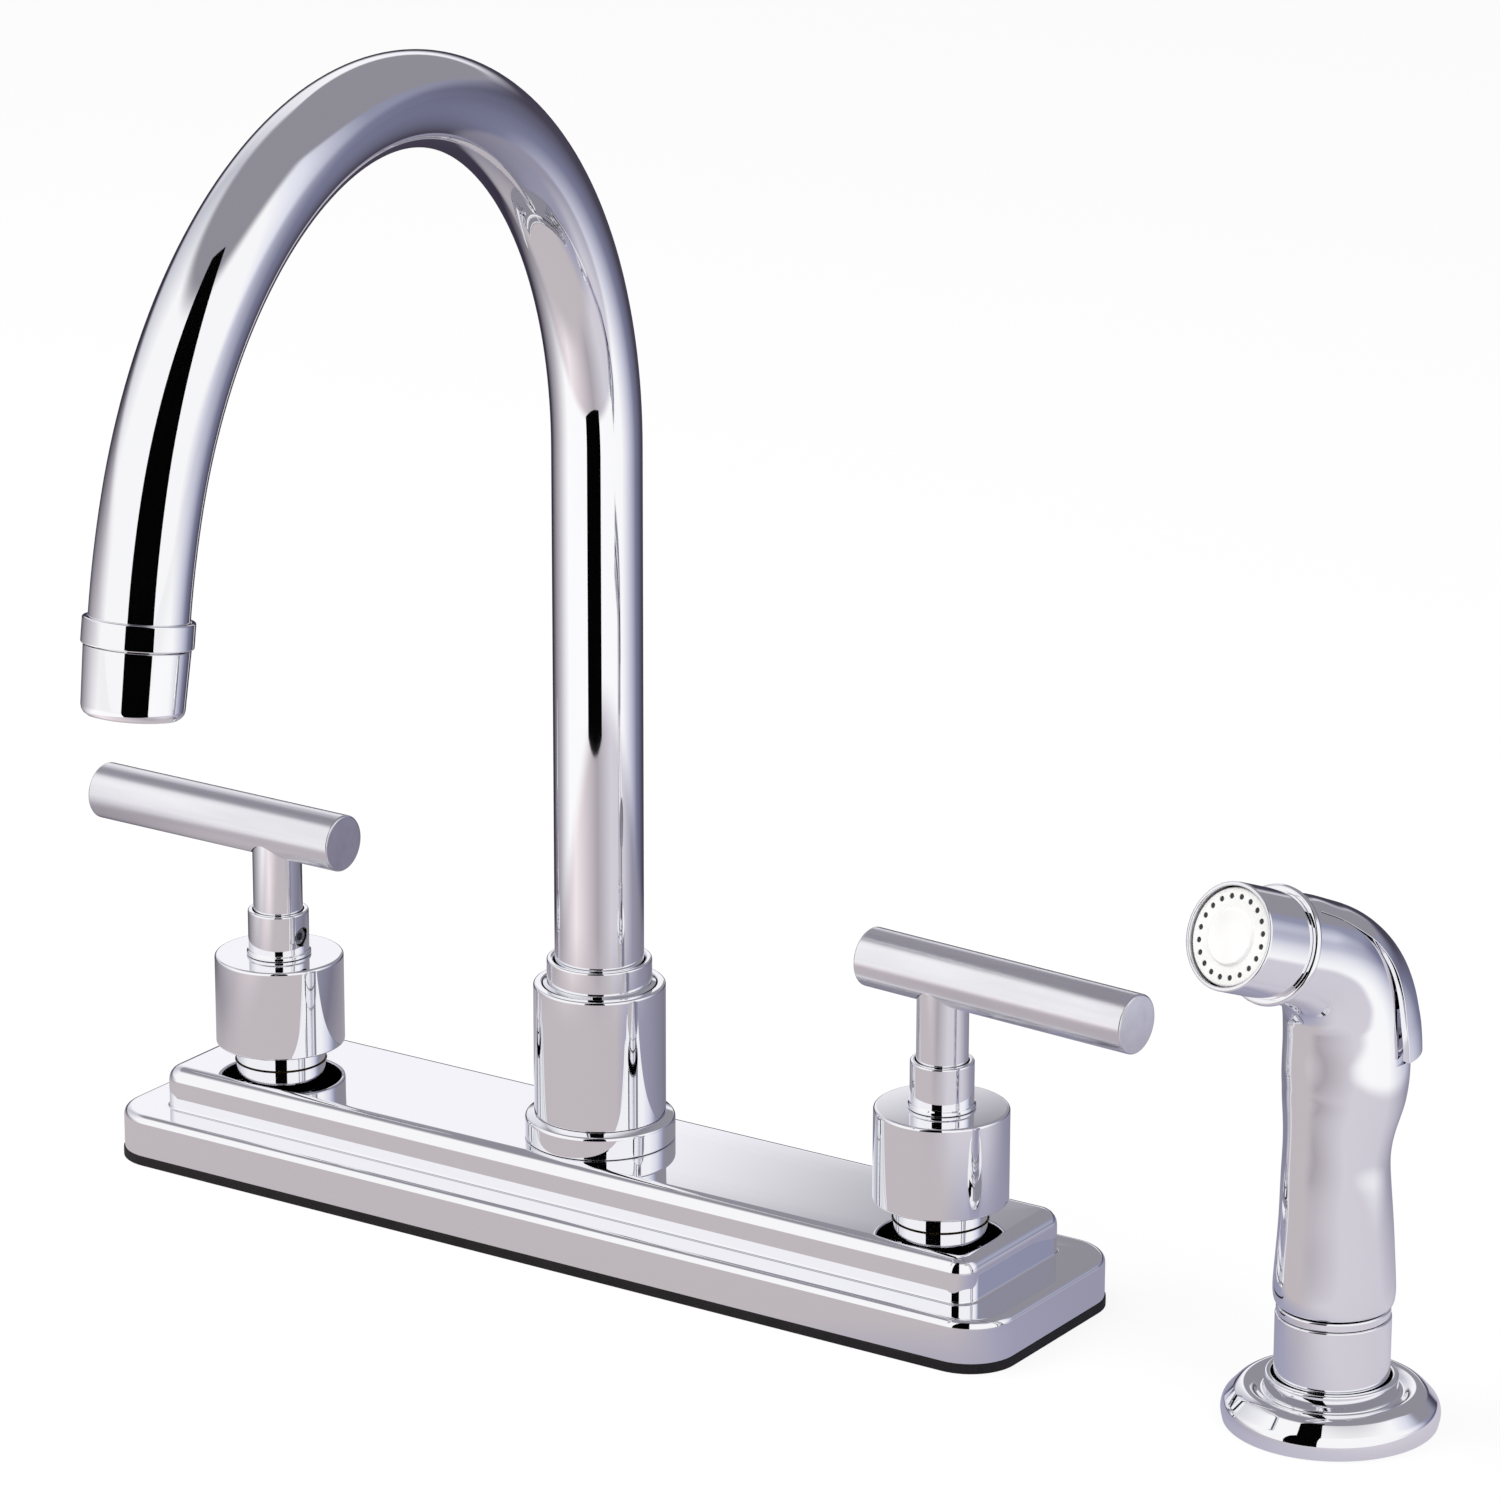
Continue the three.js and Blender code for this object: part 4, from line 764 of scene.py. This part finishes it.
# The spine is even steps up the grip's middle and over into the head: how far back (+) or forward, height.
spray = {"length": 107.08,
         "spine": [[0, 30], [0.01, 34.12], [0.03, 38.24], [0.04, 42.36], [0.02, 46.47], [-0.07, 50.59],
                   [-0.25, 54.71], [-0.45, 58.82], [-0.6, 62.94], [-0.57, 67.05], [-0.31, 71.16],
                   [0.12, 75.26], [0.71, 79.33], [1.4, 83.39], [1.8, 87.49], [1.94, 91.61], [1.85, 95.72],
                   [1.47, 99.82], [0.8, 103.89], [-0.52, 107.78], [-2.57, 111.34], [-5.18, 114.52],
                   [-8.36, 117.13], [-11.92, 119.19], [-15.64, 120.96], [-19.51, 122.37], [-23.4, 123.72]],
         # distance along the spine, half width, front, back
         "sections": [[0, 13.3, 13.3, 13.3], [0.5, 13.9, 13.9, 13.9], [3, 14.5, 14.5, 14.5],
                      [8, 14.3, 14.3, 14.2], [22, 13.4, 13.4, 13.3], [36, 12.7, 12.7, 12.5],
                      [42, 12.6, 12.7, 12.3], [48, 14, 13.7, 14], [54, 14.9, 15, 14.8],
                      [64, 14.9, 15.2, 14.4], [80, 14.3, 14.4, 13.6], [92, 13.5, 13.8, 13],
                      [110, 13, 13, 12.8]],
         "lip": [0, 0.25, 0.5, 1, 1.8], "from": 3, "rings": 80, "sides": 80, "evening": 5,
         "tilt": 69.6, "head": (0, -23.4, 123.72), "bore": (6.4, -24, 2),     # radius, low, high
         "gripBore": (5.6, 20, 85), "valveBore": (7.2, 84, 109), "valveBack": 1.7}
# distance along the spine, outer radius, how far back the side edges lie
lever = {"from": 63, "to": 103.5, "rings": 44, "thickness": 2, "play": 0.2, "edge": 0.8,
         "pinAt": (-6.87, 127.15), "pressed": (0, 2, 4),     # degrees that its recess leaves room for
         "rows": [[60, 17.5, 2.6], [68, 17.2, 2.4], [73, 16.7, 2.8], [78, 16.2, 4.2], [83, 15.5, 6.4],
                  [88, 14.4, 8.1], [93, 13.4, 8.9], [98, 13, 9.7], [110, 12.8, 11]]}


# A point of the spine and the two directions across it: along, and back.
def spineAt(distance):
    t = distance / spray["length"]
    y, z = readRows(spray["spine"], t)
    a, b = readRows(spray["spine"], t - 0.004), readRows(spray["spine"], t + 0.004)
    along = Vector((0, b[0] - a[0], b[1] - a[1])).normalized()
    return Vector((0, y, z)), along, along.cross(Vector((1, 0, 0)))


# Draws a ring along the spine: `place` gives each corner's side and back offsets at a distance.
def drawAlong(stations, corners, place):
    shape = bmesh.new()
    ring = bmesh.ops.create_circle(shape, segments=corners, radius=1)["verts"]
    rings = [ring]
    edges = shape.edges[:]
    for _ in stations[1:]:
        grown = bmesh.ops.extrude_edge_only(shape, edges=edges)["geom"]
        fresh = {g for g in grown if isinstance(g, bmesh.types.BMVert)}
        edges = [g for g in grown if isinstance(g, bmesh.types.BMEdge) and set(g.verts) <= fresh]
        rings.append([next(e.other_vert(v) for e in v.link_edges if e.other_vert(v) in fresh)
                      for v in rings[-1]])
    for distance, verts in zip(stations, rings):
        centre, _, back = spineAt(distance)
        for i, vert in enumerate(verts):
            side, out = place(i / corners, distance)
            vert.co = centre + Vector((side, 0, 0)) + back * out
    bmesh.ops.holes_fill(shape, edges=[e for e in shape.edges if len(e.link_faces) == 1], sides=0)
    bmesh.ops.recalc_face_normals(shape, faces=shape.faces)
    return shape


def evenly(low, high, count):
    return [low + (high - low) * i / count for i in range(count + 1)]


# The lever's shell: an arc behind the spine, grown by a play and pressed in by some degrees.
def leverShape(play, degrees):
    arc = 30

    def place(share, distance):
        radius, edge = readAt(lever["rows"], distance)
        i = round(share * 2 * (arc + 1))
        outside = i <= arc
        r = radius + play if outside else radius - lever["thickness"] - play
        limit = acos(min((edge - play) / r, 1))
        part = i / arc if outside else 1 - (i - arc - 1) / arc
        angle = limit * (1 - 2 * part)
        return r * sin(angle), r * cos(angle)

    rows = evenly(lever["from"] - play, lever["to"] + play, lever["rings"])
    shape = drawAlong(rows, 2 * (arc + 1), place)
    pin = Vector((0, *lever["pinAt"]))
    press = Matrix.Translation(pin) @ Matrix.Rotation(radians(-degrees), 4, "X") @ Matrix.Translation(-pin)
    bmesh.ops.transform(shape, matrix=press, verts=shape.verts)
    return shape


def makeSpray():
    def grip(share, distance):
        reach = min(spray["evening"], distance / 2.5)      # the mean of five rows evens out the swellings
        rows = [readAt(spray["sections"], distance + reach * k / 2) for k in (-2, -1, 0, 1, 2)]
        half, front, rear = (sum(column) / 5 for column in zip(*rows))
        x, z = sin(2 * pi * share), cos(2 * pi * share)
        return x * half, z * (rear if z > 0 else front)

    rows = [*spray["lip"], *evenly(spray["from"], spray["length"], spray["rings"])]
    body = drawAlong(rows, spray["sides"], grip)
    cutters = [leverShape(lever["play"], degrees) for degrees in lever["pressed"]]
    cutters.append(rodShape(*spray["gripBore"], 40))
    cutters.append(rodShape(*spray["valveBore"], 40))
    bmesh.ops.translate(cutters[-1], vec=(0, spray["valveBack"], 0), verts=cutters[-1].verts)
    head = Matrix.Translation(spray["head"]) @ Matrix.Rotation(radians(spray["tilt"]), 4, "X")
    cutters.append(rodShape(*spray["bore"], 48))
    bmesh.ops.transform(cutters[-1], matrix=head, verts=cutters[-1].verts)
    makePiece("spray_body", carve(body, cutters), chrome, sprayPlace, sharp=35)
    makePiece("spray_lever", leverShape(0, 0), chrome, sprayPlace, sharp=35,
              edge=lever["edge"])
    return sprayPlace @ head


face = {"seamRadius": 14.15, "seamEdge": 0.85, "bore": 6.4, "seamLow": 0.1, "seamTop": 1.9,
        "radius": 12.7, "low": 2, "top": 16.85, "mouth": 11.7, "floor": 5,
        "plateRadius": 11.4, "plateLow": 14.15, "plateTop": 15.95, "centre": 6.4, "slope": 0.25, "rise": 0.7,
        "holes": 20, "hole": 0.7, "circle": 9.4, "drillLow": 12, "drillTop": 18,
        "shadePlugPlay": 0.02, "shadePlugLow": 14.35, "shadePlugTop": 15.7}


def makeHead(at):
    f = face
    seam = turnProfile([[f["bore"], f["seamLow"]], [f["seamRadius"], f["seamLow"], f["seamEdge"]],
                        [f["seamRadius"], f["seamTop"], f["seamEdge"]], [f["bore"], f["seamTop"]]], 112)
    makePiece("spray_seam_ring", seam, chrome, at)
    nozzle = turnProfile([[f["bore"], f["low"]], [f["radius"], f["low"], 0.2],
                          [f["radius"], f["top"], 0.45], [f["mouth"], f["top"], 0.3],
                          [f["mouth"], f["floor"]], [f["bore"], f["floor"]]], 112)
    makePiece("spray_nozzle_collar", nozzle, chrome, at)
    disc = turnProfile([[0, f["plateLow"]], [f["plateRadius"], f["plateLow"]],
                        [f["plateRadius"], f["plateTop"], 0.4],
                        [f["centre"] + f["slope"], f["plateTop"], 0.2],
                        [f["centre"], f["plateTop"] + f["rise"], 0.35],
                        [0, f["plateTop"] + f["rise"]]], 80, closed=False)
    drills = rodCircle(f["circle"], f["holes"], f["hole"], f["drillLow"], f["drillTop"], 12)
    makePiece("spray_face", carve(disc, [drills]), acetal, at)
    # Dark nylon plugs sunk just under the face fill its holes: painted shade for the dark inside the holes.
    holeShade = rodCircle(f["circle"], f["holes"], f["hole"] - f["shadePlugPlay"], f["shadePlugLow"], f["shadePlugTop"], 12)
    makePiece("spray_face", holeShade, nylon, at, name="spray_painted_hole_shade")


makeHead(makeSpray())
print("hand spray made")


under = {"shank": 10.3, "bore": 6, "low": -55, "top": 2.9, "spigot": 8.4, "spigotTop": 9.5,
         "pitch": 1.8, "depth": 0.6, "threadTop": -0.1, "threadEnd": 0.6, "neck": 0.9,
         "clearBore": 10.6, "washer": 21, "washerLow": -12, "washerTop": -10, "nutTop": -12.1,
         "nutRadius": 17, "nutFlange": 20, "nutHeight": 12, "flangeHeight": 2.5, "flangeSunk": 0.5,
         "lobes": 6, "lobeDepth": 1.4, "boreWall": 2}
nipple = {"radius": 6.6, "bore": 3.5, "low": -14, "neck": -0.5, "spigot": 5.9,
          "pitch": 1.3, "depth": 0.4, "threadTop": -1, "threadEnd": 0.4}


# A moulded nut with six finger lobes under a round flange.
def lobedNut(top):
    u = under
    bore, low, flange = u["clearBore"], top - u["nutHeight"], top - u["flangeHeight"]
    inFlange = flange + u["flangeSunk"]
    lobes = turnProfile([[bore, low, 0.3], [u["nutRadius"], low, 1], [u["nutRadius"], inFlange],
                         [bore, inFlange]], 96)
    for v in lobes.verts:
        out = v.co.xy.length
        if out > bore + u["boreWall"]:
            angle = Vector((1, 0)).angle_signed(v.co.xy)
            shrink = u["lobeDepth"] * (1 - cos(u["lobes"] * angle)) / 2
            v.co.xy *= (out - shrink) / out
    return join(lobes, turnProfile([[bore, flange], [u["nutFlange"], flange, 0.6],
                                    [u["nutFlange"], top, 0.4], [bore, top, 0.3]], 96))


def makeUnder():
    u, n = under, nipple
    root, bore = u["shank"] - u["depth"], u["clearBore"]
    ridges = threadRun(u["shank"], u["threadTop"], u["low"] + u["threadEnd"], u["pitch"], u["depth"])
    for name in sides:
        at = moved(sides[name][0], 0, 0)
        shank = turnProfile([[u["bore"], u["low"]], [root, u["low"]], *reversed(ridges),
                             [u["shank"], u["neck"]], [u["shank"], u["top"]], [u["spigot"], u["top"]],
                             [u["spigot"], u["spigotTop"]], [u["bore"], u["spigotTop"]]], 72)
        makePiece(name + "_inlet_shank", shank, brass, at)
        washer = turnProfile([[bore, u["washerLow"], 0.3], [u["washer"], u["washerLow"], 0.5],
                              [u["washer"], u["washerTop"], 0.5], [bore, u["washerTop"], 0.3]], 96)
        makePiece(name + "_mounting_washer", washer, steel, at)
        makePiece(name + "_mounting_nut", lobedNut(u["nutTop"]), acetal, at)
    makePiece("spray_holder_nut", lobedNut(u["washerTop"]), acetal, sprayPlace)
    ridges = threadRun(n["radius"], n["threadTop"], n["low"] + n["threadEnd"], n["pitch"], n["depth"])
    outlet = turnProfile([[n["bore"], n["low"]], [n["radius"] - n["depth"], n["low"]], *reversed(ridges),
                          [n["radius"], n["neck"]], [n["radius"], u["top"]], [n["spigot"], u["top"]],
                          [n["spigot"], u["spigotTop"]], [n["bore"], u["spigotTop"]]], 56)
    makePiece("spray_outlet_nipple", outlet, brass)


makeUnder()
print("under deck pieces made")


kept = {"waterway_casting": cast, "hot_cartridge_sleeve": brass, "cold_cartridge_sleeve": brass,
        "hot_spindle": brass, "cold_spindle": brass, "spout_swivel": brass, "spray_inlet": brass,
        "hot_fixed_disc": ceramic, "cold_fixed_disc": ceramic, "hot_turning_disc": ceramic,
        "cold_turning_disc": ceramic, "spout_lower_o_ring": rubber, "spout_upper_o_ring": rubber,
        "aerator_washer": rubber, "spray_valve_seat": rubber, "spout_bearing_ring": acetal,
        "diverter_body": acetal, "diverter_piston": nylon, "spray_valve_stem": nylon,
        "spray_lever_pin": steel, "spray_valve_spring": steel}
for node, material in kept.items():
    for place in frame["nodes"][node].material_slots:
        place.material = material
print("carried over:", len(kept), "left plain:", sorted(set(frame["nodes"]) - set(kept) - set(made)))
